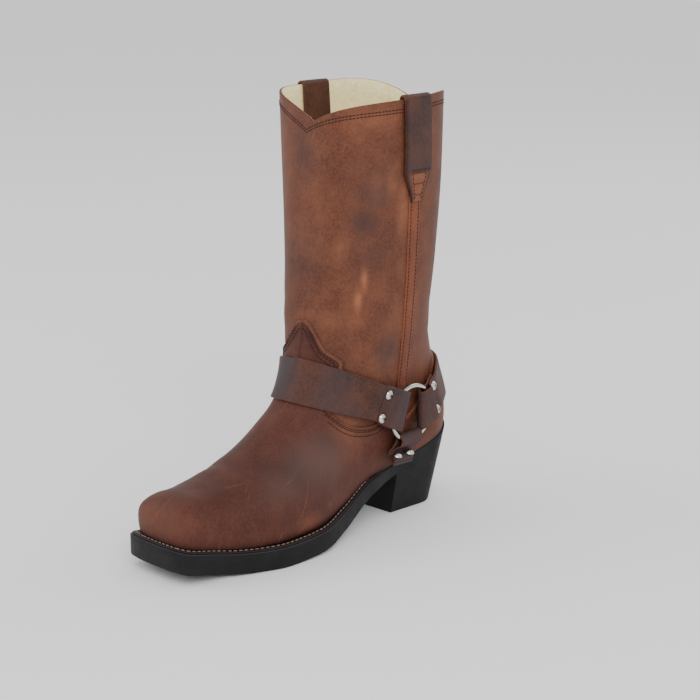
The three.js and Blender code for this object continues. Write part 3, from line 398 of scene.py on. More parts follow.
# Materials


class Nodes:
    """Short forms for building one material's node tree."""

    def __init__(self, name):
        self.material = bpy.data.materials.new(name)
        self.material.use_nodes = True
        self.tree = self.material.node_tree
        self.tree.nodes.clear()
        self.shader = self.make("ShaderNodeBsdfPrincipled")
        self.make("ShaderNodeOutputMaterial", {0: self.shader.outputs[0]})
        self.where = self.make("ShaderNodeTexCoord").outputs["Object"]

    def fill(self, node, inputs):
        """Links or sets each input that has a value."""
        for key, value in inputs.items():
            socket = node.inputs[key]
            if isinstance(value, bpy.types.NodeSocket):
                self.tree.links.new(value, socket)
            elif value is not None:
                socket.default_value = (*value, 1) if socket.type == "RGBA" else value

    def make(self, kind, inputs=None, **settings):
        made = self.tree.nodes.new(kind)
        for key, value in settings.items():
            setattr(made, key, value)
        self.fill(made, inputs or {})
        return made

    def math(self, operation, a, b=0.0):
        return self.make("ShaderNodeMath", {0: a, 1: b}, operation=operation).outputs[0]

    def attribute(self, name):
        return self.make("ShaderNodeAttribute", attribute_name=name).outputs["Fac"]

    def stretched(self, scale, turn=(0, 0, 0)):
        """Place turned, then scaled along each of the turned axes."""
        inputs = {"Vector": self.where, "Scale": tuple(1 / v for v in scale), "Rotation": turn}
        return self.make("ShaderNodeMapping", inputs, vector_type="TEXTURE").outputs[0]

    def noise(self, scale, detail=3.0, rough=0.55, vector=None, distortion=0.0):
        inputs = {"Scale": scale, "Detail": detail, "Roughness": rough, "Distortion": distortion}
        inputs["Vector"] = vector or self.where
        return self.make("ShaderNodeTexNoise", inputs).outputs["Fac"]

    def cells(self, scale):
        return self.make("ShaderNodeTexVoronoi", {"Scale": scale, "Vector": self.where}).outputs["Distance"]

    def ranged(self, value, low, high, to_low=0.0, to_high=1.0):
        inputs = {0: value, 1: low, 2: high, 3: to_low, 4: to_high}
        return self.make("ShaderNodeMapRange", inputs, clamp=True).outputs[0]

    def blend(self, share, a, b, mode="MIX"):
        inputs = {"Factor": share, 6: a, 7: b}
        return self.make("ShaderNodeMix", inputs, data_type="RGBA", blend_type=mode).outputs[2]

    def tinted(self, color, *layers):
        """The colour with each layer of (share, strength, tint) laid over it."""
        for share, strength, tint in layers:
            color = self.blend(self.math("MULTIPLY", share, strength), color, tint)
        return color

    def bump(self, height, strength, distance, under=None):
        inputs = {"Strength": strength, "Distance": distance, "Height": height, "Normal": under}
        return self.make("ShaderNodeBump", inputs).outputs[0]

    def finish(self, color, roughness, normal=None, **constants):
        inputs = {key.replace("_", " "): value for key, value in constants.items()}
        inputs.update({"Base Color": color, "Roughness": roughness, "Normal": normal})
        self.fill(self.shader, inputs)
        return self.material


def srgb(r, g, b):
    """Linear colour from 0 to 255 display values."""
    return tuple(((v / 255 + 0.055) / 1.055) ** 2.4 if v > 10 else v / 3294 for v in (r, g, b))


def pull_up_leather(name, main, dark, light, grey):
    """Oiled leather: mottled at three scales, with greyed, dark, rubbed and scratched places, painted shade
    and painted sheen.
    """
    n = Nodes(name)
    broad = n.ranged(n.noise(13, 3, 0.6, distortion=0.5), 0.38, 0.64)
    middle = n.ranged(n.noise(48, 5, 0.62), 0.40, 0.68)
    streaks = n.ranged(n.noise(80, 4, 0.6, n.stretched((1.0, 1.0, 0.3), (0.25, 0.2, 0.3))), 0.44, 0.70)
    cloudy = n.ranged(n.noise(26, 4, 0.6, distortion=0.8), 0.42, 0.70)
    fine = n.ranged(n.noise(460, 4, 0.7), 0.36, 0.66)
    grain = n.ranged(n.noise(900, 3, 0.7), 0.38, 0.66)
    color = n.tinted(
        n.blend(broad, dark, main), (middle, 0.5, light), (streaks, 0.4, dark), (cloudy, 0.28, grey),
        (fine, 0.42, light), (grain, 0.42, dark))
    color = n.blend(n.attribute("vamp"), color, (0.60, 0.55, 0.68), "MULTIPLY")
    patchy = n.ranged(n.noise(55, 4, 0.65), 0.25, 0.6, 0.45, 1.0)
    color = n.tinted(color, (n.attribute("stain"), patchy, grey))
    # darker oiled patches, and painted shade and shadow
    color = n.blend(n.attribute("oil_and_shade"), color, tuple(0.3 * v for v in dark))
    # rubbed, lighter places, and painted sheen
    broken = n.ranged(n.noise(150, 4, 0.65), 0.3, 0.6, 0.5, 1.0)
    color = n.tinted(color, (n.attribute("rub"), broken, tuple(1.35 * v for v in light)))
    # painted greyish sheen on the vamp's sides
    color = n.blend(n.attribute("painted_sheen"), color, srgb(90, 67, 60))
    for turn, scale in (((0.3, 0.2, 0.75), 31), ((-0.5, 0.5, 0.3), 27), ((0.2, -0.45, -0.6), 36)):
        ridge = n.noise(110, 1, 0.5, n.stretched((1.0, 0.03, 0.03), turn))
        ridge = n.ranged(n.math("ABSOLUTE", n.math("SUBTRACT", ridge, 0.5)), 0.0, 0.012, 1.0, 0.0)
        where = n.ranged(n.noise(scale, 4, 0.65, distortion=0.8), 0.55, 0.66)
        color = n.tinted(color, (n.math("MULTIPLY", ridge, where), 0.32, light))
    wrinkles = n.noise(150, 4, 0.6, n.stretched((1.0, 1.0, 0.55), (0.3, 0.5, 0.2)))
    normal = n.bump(wrinkles, 0.24, 0.0006)
    normal = n.bump(n.ranged(n.cells(620), 0.0, 0.55), 0.16, 0.0003, normal)
    normal = n.bump(n.noise(900, 2, 0.5), 0.12, 0.0002, normal)
    shine = n.math("ADD", n.ranged(broad, 0, 1, 0.46, 0.54), n.math("MULTIPLY", fine, 0.1))
    return n.finish(color, shine, normal, Specular_IOR_Level=0.17)


def lining_cloth():
    n = Nodes("lining_canvas")
    warp = n.math("SINE", n.math("MULTIPLY", n.noise(30, 1, 0.4), 8))
    threads = n.noise(700, 2, 0.6, n.stretched((1.0, 1.0, 0.25)))
    weave = n.math("ADD", threads, n.noise(700, 2, 0.6, n.stretched((0.25, 0.25, 1.0))))
    flecks = n.ranged(n.noise(160, 3, 0.7), 0.55, 0.78)
    color = n.blend(n.ranged(weave, 0.8, 1.25), srgb(251, 231, 170), srgb(255, 248, 202))
    color = n.tinted(color, (flecks, 0.4, srgb(196, 165, 112)))
    color = n.blend(n.ranged(warp, 0.2, 1, 0, 0.12), color, srgb(205, 178, 126))
    return n.finish(color, 0.9, n.bump(weave, 0.35, 0.0005), Specular_IOR_Level=0.2)


def rubber(name, main, light):
    n = Nodes(name)
    dust = n.ranged(n.noise(60, 5, 0.65), 0.45, 0.8)
    scuffs = n.ranged(n.noise(240, 4, 0.65, n.stretched((0.35, 0.35, 1.0))), 0.52, 0.74)
    color = n.tinted(main, (dust, 0.5, light), (scuffs, 0.35, light))
    color = n.blend(n.attribute("edge"), color, tuple(3.0 * v for v in light))
    rough = n.ranged(n.noise(90, 4, 0.6), 0.3, 0.7, 0.46, 0.62)
    return n.finish(color, rough, n.bump(n.noise(500, 4, 0.6), 0.14, 0.0003), Specular_IOR_Level=0.16)


def nickel():
    n = Nodes("nickel")
    haze = n.noise(260, 3, 0.6)
    color = n.blend(haze, srgb(196, 192, 186), srgb(226, 224, 218))
    color = n.blend(n.attribute("shade"), color, srgb(58, 55, 52))
    rough = n.ranged(haze, 0.3, 0.7, 0.10, 0.2)
    return n.finish(color, rough, n.bump(n.noise(120, 2, 0.5), 0.05, 0.0003), Metallic=1.0)


def thread(name, main, dark):
    n = Nodes(name)
    twist = n.ranged(n.noise(1500, 2, 0.5), 0.35, 0.65)
    return n.finish(n.blend(twist, dark, main), 0.7, n.bump(twist, 0.3, 0.0002), Specular_IOR_Level=0.25)


def board():
    n = Nodes("insole_leather")
    mottle = n.noise(70, 4, 0.6)
    color = n.blend(mottle, srgb(176, 140, 98), srgb(205, 172, 128))
    return n.finish(color, 0.82, n.bump(n.noise(600, 3, 0.6), 0.2, 0.0004))


SHAFT_LEATHER = pull_up_leather(
    "shaft_leather", srgb(100, 57, 41), srgb(78, 43, 34), srgb(136, 85, 60), srgb(66, 49, 47))
STRAP_LEATHER = pull_up_leather(
    "strap_leather", srgb(72, 46, 40), srgb(46, 32, 30), srgb(112, 68, 48), srgb(60, 54, 59))
STRIP_LEATHER = pull_up_leather(
    "strip_leather", srgb(116, 61, 41), srgb(94, 49, 34), srgb(142, 84, 57), srgb(76, 52, 44))
LINING = lining_cloth()
SOLE_RUBBER = rubber("sole_rubber", srgb(25, 24, 26), srgb(38, 37, 40))
WELT_RUBBER = rubber("welt_leather", srgb(30, 21, 19), srgb(44, 32, 28))
NICKEL = nickel()
BROWN_THREAD = thread("brown_thread", srgb(58, 32, 24), srgb(34, 18, 14))
PALE_THREAD = thread("pale_thread", srgb(158, 144, 138), srgb(112, 98, 92))
BOARD = board()


# Upper

COUNTS = (42, 74, 20)  # columns round the toe, along the side and round the heel, on each side


def even_levels(count):
    """Levels of the foot part that run evenly along the front of the boot and up its sides."""
    level = np.linspace(0, 1, 600)
    flat = lambda px, py: level_height(level, py, SHAFT_HEIGHT)
    front = surface_from(0 * level, CORE_Y, 0, -1, flat)
    run = np.linalg.norm(np.diff(front, axis=0), axis=1)
    rise = np.diff(level) * (ANKLE_HEIGHT - FOREPART_HEIGHT)
    walked = np.concatenate(([0], np.cumsum(0.45 * run + 0.8 * rise)))
    return np.interp(np.linspace(0, walked[-1], count), walked, level)


def polyline_distance(u, v, line):
    """Distance of points (u, v) from a polyline."""
    best = np.full(np.shape(u), 1e9)
    for (au, av), (bu, bv) in zip(line, line[1:]):
        du, dv = bu - au, bv - av
        t = np.clip(((u - au) * du + (v - av) * dv) / max(du * du + dv * dv, 1e-9), 0, 1)
        best = np.minimum(best, np.hypot(u - au - t * du, v - av - t * dv))
    return best


def within(u, v, polygon):
    inside = np.zeros(np.shape(u), bool)
    for (au, av), (bu, bv) in zip(polygon, polygon[1:] + polygon[:1]):
        crosses = (av > v) != (bv > v)
        at = au + (v - av) * (bu - au) / (bv - av if bv != av else 1e-9)
        inside ^= crosses & (u < at)
    return inside


def rounded(line, passes=2):
    """A polyline with its corners cut, the ends kept."""
    p = np.array(line, float)
    for _ in range(passes):
        a, b = p[:-1], p[1:]
        cut = np.stack((a * 0.75 + b * 0.25, a * 0.25 + b * 0.75), 1).reshape(-1, 2)
        p = np.concatenate((p[:1], cut[1:-1], p[-1:]))
    return [tuple(q) for q in p]


vamp_line = rounded([(HEEL_Y - a * SOLE_LENGTH, u * INSTEP_RISE) for a, u in VAMP_EDGE])
counter_line = rounded([(HEEL_Y - a * SOLE_LENGTH, u * INSTEP_RISE) for a, u in COUNTER_EDGE])
tongue_line = rounded([(o * HALF_BALL, u * INSTEP_RISE) for o, u in TONGUE_EDGE], 1)
side_line = vamp_line + counter_line
side_polygon = [(side_line[0][0], -20)] + side_line + [(side_line[-1][0], -20)]
tongue_full = tongue_line + [(-x, z) for x, z in reversed(tongue_line)]
TONGUE_BACK = SHAFT_CENTRE_Y - 0.36 * SHAFT_DEPTH


def overlay_depth(p):
    """How far inside the vamp's or the counter's edge a point lies, negative outside."""
    x, y, z = p[..., 0], p[..., 1], p[..., 2]
    side = np.where(within(y, z, side_polygon), 1, -1) * polyline_distance(y, z, side_line)
    tongue = np.where(within(x, z, tongue_full), 1, -1) * polyline_distance(x, z, tongue_full)
    return np.maximum(side, np.where(y < TONGUE_BACK, tongue, -50))


def spot(p, centre, size):
    """1 at a centre, falling off over its size along each axis."""
    d = (p - np.array(centre)) / np.array(size)
    return np.exp(-np.sum(d * d, -1))


# Creases and swellings: centre, size along each axis, depth (mm, out is positive).
FOLDS = (
    ((10, -118, 160), (60, 30, 5), -0.8), ((14, -116, 172), (60, 30, 6), 0.7),
    ((-12, -114, 184), (60, 30, 5), -0.6), ((30, -60, 148), (24, 34, 5), -0.7),
    ((34, -52, 160), (24, 34, 6), 0.6), ((0, 25, 150), (40, 20, 5), -1.0),
    ((0, 26, 162), (40, 20, 7), 0.8), ((0, 27, 176), (40, 20, 5), -0.7),
    ((0, -180, 64), (44, 5, 26), -0.6), ((0, -190, 62), (44, 6, 26), 0.6),
    ((0, -171, 66), (44, 5, 26), 0.5), ((-44, -60, 150), (16, 30, 5), -0.7),
    ((-46, -56, 162), (16, 30, 7), 0.6), ((40, -84, 236), (14, 20, 9), -0.5),
)
STAINS = (  # centre, size, strength: greyed places
    ((47, -70, 276), (18, 14, 13), 0.85), ((44, -77, 254), (16, 13, 14), 0.85),
    ((41, -72, 226), (20, 16, 16), 0.45), ((43, -54, 147), (15, 11, 13), 0.85),
    ((44, -64, 288), (24, 18, 12), 0.45), ((38, -146, 64), (24, 32, 22), 0.85),
    ((42, -120, 82), (18, 20, 16), 0.6), ((-52, -70, 250), (22, 30, 40), 0.6),
    ((-46, -40, 180), (22, 30, 30), 0.5), ((-36, -150, 60), (24, 34, 24), 0.5),
    ((-6, -98, 306), (12, 14, 22), 0.6), ((10, 32, 240), (30, 14, 40), 0.5),
    ((2, -102, 220), (14, 12, 22), 0.4), ((22, -214, 66), (16, 14, 10), 0.5),
)
RUBS_AND_SHEENS = (  # centre, size, strength: rubbed, lighter places, and painted sheen on the instep
    ((41, -78, 209), (2.4, 2.6, 9), 0.95), ((38, -82, 192), (3.0, 3.2, 9), 0.95),
    ((52, -46, 268), (8, 6, 24), 0.4), ((44, -84, 176), (10, 9, 6), 0.35),
    ((-6, -249, 44), (30, 9, 12), 0.24), ((44, -150, 30), (12, 12, 7), 0.25),
    ((46, -92, 92), (13, 14, 10), 0.4), ((40, -96, 104), (12, 12, 8), 0.3),
    ((48, -74, 334), (16, 20, 9), 0.4), ((-48, -84, 200), (8, 6, 22), 0.5),
    ((-44, -20, 280), (10, 10, 30), 0.35), ((4, 34, 96), (30, 10, 10), 0.3),
    ((24, -100, 176), (12, 10, 7), 0.3), ((28, -92, 233), (5, 6, 9), 0.35),
    ((47, -70, 282), (8, 8, 12), 0.25), ((51, -58, 282), (6, 6, 12), 0.35),
)
PAINTED_SHEENS = (  # centre, size, strength: a painted soft greyish sheen
    ((42, -128, 72), (20, 26, 17), 0.75), ((38, -168, 58), (20, 22, 12), 0.4),
    ((-40, -130, 72), (20, 26, 17), 0.6), ((10, -236, 64), (18, 8, 6), 0.3),
)
OIL_AND_SHADE_SPOTS = (  # centre, size, strength: dark places, oiled patches, and painted shade below the rings and on the back of the outer side
    ((18, -205, 62), (22, 16, 10), 0.3), ((30, -92, 268), (14, 14, 30), 0.14),
    ((22, -98, 150), (14, 12, 12), 0.15), ((38, -170, 36), (20, 30, 7), 0.2),
    ((0, -120, 128), (70, 30, 10), 0.2), ((2, -216, 70), (26, 18, 9), 0.38),
    ((14, -176, 76), (22, 26, 16), 0.15), ((-20, -94, 190), (22, 16, 50), 0.3),
    ((42, -26, 74), (12, 26, 26), 0.4), ((-42, -26, 74), (12, 26, 26), 0.4),
    ((0, 34, 120), (34, 16, 10), 0.3), ((20, -112, 150), (22, 14, 12), 0.22),
    ((6, -110, 168), (12, 10, 12), 0.25), ((44, 4, 220), (12, 16, 110), 0.3),
)


def summed(p, spots):
    total = np.zeros(p.shape[:-1])
    for centre, size, strength in spots:
        total = np.maximum(total, strength * spot(p, centre, size))
    return total


def overlay_lift(depth):
    return OVERLAY * ease(depth / 2.6 + 0.5)


def dressed(p, n):
    """Outer face of the upper from the bare form: panels' thickness, creases."""
    depth = overlay_depth(p)
    lift = overlay_lift(depth) - 0.25 * np.exp(-((depth + 1.5) / 1.2) ** 2)
    for centre, size, height in FOLDS:
        lift = lift + height * spot(p, centre, size)
    return p + n * lift[..., None], depth


def make_upper():
    levels = np.concatenate((even_levels(140), 1 + np.linspace(0, 1, 124)[1:] ** 1.35))
    p, n = ring_grid(levels)
    outer, depth = dressed(p, n)
    q, m = ring_grid(np.linspace(2, 0, 44))
    rim = np.array([
        p[-1] - n[-1] * inset + [0, 0, rise]
        for inset, rise in ((0.35, 0.25), (WALL / 2, 0.45), (WALL - 0.35, 0.2))
    ])
    rings = np.concatenate((outer, rim, q - m * WALL))
    rows, columns = rings.shape[:2]
    faces = grid_faces(rows, columns, wrap_rows=True, wrap_columns=True)
    lined = np.repeat(np.arange(rows) >= len(levels) + 2, columns).astype(np.int32)
    bare = np.concatenate((p, rim, q))
    depths = np.concatenate((depth, np.full((rows - len(levels), columns), -50.0)))
    # painted shadow just outside the overlays' raised edges
    oil_and_shade = np.maximum(summed(bare, OIL_AND_SHADE_SPOTS), 0.75 * np.exp(-((depths + 1.1) / 0.8) ** 2))
    # painted shade where the upper meets the welt
    oil_and_shade = np.maximum(oil_and_shade, 0.9 * np.exp(-(bare[..., 2] - seat_line(bare[..., 1])) / 3.2))
    both_sides = bare * [0, 1, 1]
    vamp = ease(depths + 0.5) * ease((-8 - bare[..., 1]) / 30)
    vamp = vamp * (1 - 0.7 * spot(both_sides, (0, -88, 80), (1, 34, 18)))
    below = 0.55 * spot(both_sides, (0, -76, 98), (1, 34, 16)) * (bare[..., 2] < 112)
    # rubbed places and painted sheen, with a lighter cut edge along the overlays
    rub = np.maximum(summed(bare, RUBS_AND_SHEENS), 0.45 * np.exp(-((depths - 0.2) / 0.7) ** 2))
    # the bloom spots are a painted greyish sheen on the vamp's sides
    attributes = {
        "stain": summed(bare, STAINS), "oil_and_shade": oil_and_shade, "rub": rub, "vamp": np.maximum(vamp, below),
        "painted_sheen": summed(bare, PAINTED_SHEENS)}
    make_mesh("upper_dressed", rings.reshape(-1, 3), faces, [SHAFT_LEATHER, LINING],
              "upper", attributes, lined)


make_upper()


def on_overlay(q):
    """Points of the bare form moved out to lie on the dressed face."""
    return q + outward(q) * (overlay_lift(overlay_depth(q)) + 0.1)[..., None]


# Stitches of the upper


def offset_line(line, inset):
    """A line with a point about every millimetre, moved to its right by inset."""
    p = np.array(line, float)
    length = run_of(p)
    at = np.linspace(0, length[-1], max(int(length[-1]), 2))
    p = np.stack([np.interp(at, length, p[:, k]) for k in range(2)], 1)
    t = unit(np.gradient(p, axis=0))
    return p + np.stack((t[:, 1], -t[:, 0]), 1) * inset


def side_row(line, inset, side, low, high):
    """Path on one side of the boot from a line in (y, z)."""
    q = offset_line(line, inset)
    q = q[(q[:, 0] > low) & (q[:, 0] < high)]
    p = side_surface(side, q[:, 0], q[:, 1])
    return on_overlay(p[np.abs(p[:, 0]) > 5])


def tongue_row(inset):
    """Path round the vamp's tongue from its line in (x, z)."""
    q = offset_line(tongue_full, -inset)
    q = q[q[:, 1] > 0.86 * INSTEP_RISE]
    return on_overlay(surface_from(q[:, 0], CORE_Y - 40, 0, -1, lambda px, py: q[:, 1]))


def collar_row(drop, side):
    """Path below the collar, with the sewn line's own turn."""
    angle = np.linspace(0.0, np.pi, 260)
    z = collar_height(side, angle, -0.03) - drop
    return surface_from(
        SHAFT_CENTRE_X, SHAFT_CENTRE_Y, side * np.sin(angle), -np.cos(angle), lambda px, py: z)


vamp_dip = [q for q in vamp_line if q[0] > -130]
paths = []
for side in (1, -1):
    paths += [side_row(vamp_dip, inset, side, -112, -38) for inset in (1.5, 3.1, 6.6)]
    paths += [side_row(counter_line, inset, side, -20, 38) for inset in (1.8, 4.2)]
    paths += [collar_row(drop, side) for drop in (7.0, 9.3)]
paths += [tongue_row(inset) for inset in (1.6, 3.2, 6.0)]
stitches("upper_stitches", paths, 2.9, 2.3, 0.75, BROWN_THREAD)


# Sole: outsole, welt, heel


def sole_path(inset, count=150):
    """Outline points round the sole, from the toe down the outer side and back up the inner."""
    half = count // 2
    t = np.linspace(0, np.pi, half)
    front, back = TOE_Y + inset, HEEL_Y - inset
    s = (1 - np.cos(t)) / 2
    even = np.linspace(0, 1, half)
    y = mix(front, back, 0.55 * s + 0.45 * even)
    toe, heel = front + np.array([0.0, 0.15, 0.5, 1.2]), back - np.array([3.0, 1.4, 0.5, 0.0])
    y = np.concatenate((toe, y[2:-2], heel))
    outer = np.stack((half_width(y, 1.0, inset), y), 1)
    inner = np.stack((-half_width(y, -1.0, inset), y), 1)
    return np.concatenate((outer, inner[-2:0:-1])), len(y)


def tapered(p):
    """The heel's taper, shared by the heel and the outsole above it so that their sides run on."""
    x, y, z = p[..., 0], p[..., 1], p[..., 2]
    low = np.clip(1 - z / seat_line(y), 0, 1) * ease((y + 58) / 30)
    back = np.clip((y - HEEL_BREAST_Y) / (HEEL_Y - HEEL_BREAST_Y), 0, 1) ** 1.2
    front_shift, back_shift = HEEL_BREAST_Y - HEEL_FACE_FRONT_Y, HEEL_Y - HEEL_FACE_BACK_Y
    narrow = 1 - (1 - HEEL_FACE_WIDTH / (0.685 * BALL_WIDTH)) * low
    return np.stack((x * narrow, y - low * mix(front_shift, back_shift, back), z), -1)


def make_plate(node, profile, material, caps):
    """Plate whose edge follows a profile round the sole."""
    rings, edges = [], []
    for inset, share, rise, edge in profile:
        path, length = sole_path(inset)
        y = path[:, 1]
        rings.append(tapered(np.column_stack((path, mix(underside(y), seat_line(y) - LIP, share) + rise))))
        edges.append(np.full(len(path), edge))
    rows, columns = len(rings), len(rings[0])
    faces = grid_faces(rows, columns, wrap_columns=True)
    if caps:
        faces += end_caps(rows, columns, length, 0)
    return dress(node, np.concatenate(rings), faces, material, {"edge": np.concatenate(edges)})


WELT_STEP = 1.3        # the sewn welt stands back from the sole's edge
LIP = 1.7              # top of the outsole below the welt's top
OUTSOLE_PROFILE = (  # inset, share from the underside to the outsole's top, rise, lighter edge
    (4.0, 0, 0, 0), (1.2, 0, 0, 0), (0.5, 0, 0.2, 0), (0.12, 0, 0.6, 0), (0, 0, 1.3, 0), (0, 0.35, 0, 0),
    (0, 0.7, 0, 0), (0, 1, -0.7, 0), (0.15, 1, -0.25, 0.55), (0.6, 1, 0, 0.35), (4.0, 1, 0, 0),
)
WELT_PROFILE = (  # the same columns
    (WELT_INSIDE, 1, -0.3, 0), (WELT_STEP, 1, -0.3, 0), (WELT_STEP - 0.1, 1, 0.5, 0),
    (WELT_STEP, 1, LIP - 0.5, 0.1), (WELT_STEP + 0.6, 1, LIP - 0.1, 0.35), (WELT_STEP + 1.4, 1, LIP, 0.1),
    (4.2, 1, LIP - 0.25, 0), (5.2, 1, LIP, 0), (WELT_INSIDE, 1, LIP, 0),
)
outsole = make_plate("outsole", OUTSOLE_PROFILE, SOLE_RUBBER, True)
outsole.data.set_sharp_from_angle(angle=math.radians(50))
make_plate("welt", WELT_PROFILE, WELT_RUBBER, False)


def welt_row():
    """Path of the welt's stitches, from the heel's breast round the toe and back."""
    path, _ = sole_path(4.2, 600)
    keep = path[:, 1] < HEEL_BREAST_Y + 16
    order = np.roll(np.arange(len(path)), -int(np.argmax(~keep)))
    path = path[order[keep[order]]]
    return np.column_stack((path, seat_line(path[:, 1])))


stitches("welt_stitches", [welt_row()], 4.4, 3.2, 1.0, PALE_THREAD,
         lambda q: np.tile([0.0, 0.0, 1.0], (len(q), 1)), 0.35)


def make_heel():
    """Block under the seat; its top runs a little up over the outsole's lower edge."""
    along, levels = 60, 14
    marks = [0, 0.0, 0.004, 0.02] + list(np.linspace(0.06, 1, levels))
    insets = [3.0, 0.9, 0.3, 0.0] + [-0.05] * levels
    k = np.sin(np.arange(along + 1) / along * np.pi / 2)
    rings = []
    for t, inset in zip(marks, insets):
        y = mix(HEEL_BREAST_Y + max(inset, 0), HEEL_Y - inset, k)
        z = t * (underside(y) + 2.2)
        outer, inner = (np.stack((side * half_width(y, side, inset), y, z), 1) for side in (1.0, -1.0))
        rings.append(tapered(np.concatenate((outer, inner[-2::-1]))))
    rows, columns = len(rings), len(rings[0])
    faces = grid_faces(rows, columns, wrap_columns=True) + end_caps(rows, columns, (columns + 1) // 2, 1)
    points = np.concatenate(rings)
    obj = dress("heel", points, faces, SOLE_RUBBER, {"edge": np.zeros(len(points))})
    obj.data.set_sharp_from_angle(angle=math.radians(40))


make_heel()

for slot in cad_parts["insole"].material_slots:
    slot.link = "OBJECT"
    slot.material = BOARD


# Side strips


def shift_of(side):
    return 0 if side > 0 else INNER_SHIFT


def seam_at(side, z):
    share = np.clip(z / (SHAFT_HEIGHT - PULL_OUTER), 0, 1)
    return mix(SEAM_FOOT_Y, SEAM_Y, share) + shift_of(side) * ease(share * 1.6 - 0.6)


def strip_y(side, z, across):
    """Place of a share across the strip, which is narrower at the foot."""
    return seam_at(side, z) + STRIP_WIDTH * mix(0.84, 1, ease(z / 270)) * (across - 0.5)


def strip_step(z):
    """The strip climbs onto the overlay below the ankle."""
    return OVERLAY * ease((ANKLE_HEIGHT - 8 - z) / 5)


def make_strip(node, side):
    """Strip over a side seam. Returns the paths of its two rows of stitches."""
    low, high = seat_line(SEAM_FOOT_Y) + 1.2, SHAFT_HEIGHT - PULL_OUTER + 5
    across = np.array([0, 0.01, 0.04, 0.1, 0.2, 0.35, 0.5, 0.65, 0.8, 0.9, 0.96, 0.99, 1])
    z = np.linspace(low, high, 110)[:, None] + 0 * across
    p = side_surface(side, strip_y(side, z, across), z)
    n, step = outward(p), strip_step(z)
    edge = np.minimum(across, 1 - across) * STRIP_WIDTH
    crown = 0.25 * np.exp(-((across - 0.5) / 0.16) ** 2)
    row_dip = np.exp(-((edge - 1.9) / 0.6) ** 2)
    top = step + STRIP_THICKNESS * np.sqrt(np.clip(edge / 0.7, 0.05, 1)) + crown - 0.3 * row_dip
    outer, inner = p + n * (top + 0.15)[..., None], p + n * (step - 0.1)[..., None]
    # painted shade along the dips of the stitch rows
    band_mesh(node, outer, inner, STRIP_LEATHER, "upper_leather", {
        "stain": 0.35 * spot(outer, (44, -36, 130), (20, 20, 26)), "oil_and_shade": 0.35 * row_dip,
        "rub": 0.25 * np.exp(-(edge / 0.5) ** 2)}, 0)
    zz = np.linspace(low + 2, high - 4, 200)
    seams = []
    for share in (1.9 / STRIP_WIDTH, 1 - 1.9 / STRIP_WIDTH):
        q = side_surface(side, strip_y(side, zz, share), zz)
        seams.append(q + outward(q) * (strip_step(zz) + STRIP_THICKNESS - 0.1)[:, None])
    return seams


# Leather straps as bands with soft edges: stations along, a closed section across


def band_section(width, columns=11, rounding=0.9):
    """Shares across and thickness factors of a strap's section, denser at the edges."""
    r = rounding / width
    near = np.array([0.0, 0.12, 0.35, 0.7, 1.0]) * r
    inner = np.linspace(r, 1 - r, columns)[1:-1]
    b = np.concatenate((near, inner, (1 - near)[::-1]))
    edge = np.minimum(b, 1 - b) / r
    factor = np.sqrt(np.clip(1 - (1 - np.clip(edge, 0, 1)) ** 2, 0.06, 1))
    return b, factor


def band_mesh(node, outer, inner, material, slot, shades, inner_share=1):
    """Closed band between two grids of (stations, across)."""
    stations, columns = outer.shape[:2]
    points = np.concatenate((outer, inner[:, ::-1]), 1).reshape(-1, 3)
    faces = grid_faces(stations, 2 * columns, wrap_columns=True)
    faces += end_caps(stations, 2 * columns, columns, 1)
    attributes = {}
    for key, value in shades.items():
        value = np.broadcast_to(value, (stations, columns))
        attributes[key] = np.concatenate((value, inner_share * value[:, ::-1]), 1)
    dress(node, points, faces, material, attributes)


strip_paths = make_strip("side_strip_left", 1) + make_strip("side_strip_right", -1)
stitches("strip_stitches", strip_paths, 3.1, 2.3, 0.8, BROWN_THREAD)

# Pull straps

FOLD = WALL / 2 + CLEARANCE + PULL_THICKNESS / 2 + PULL_SLACK


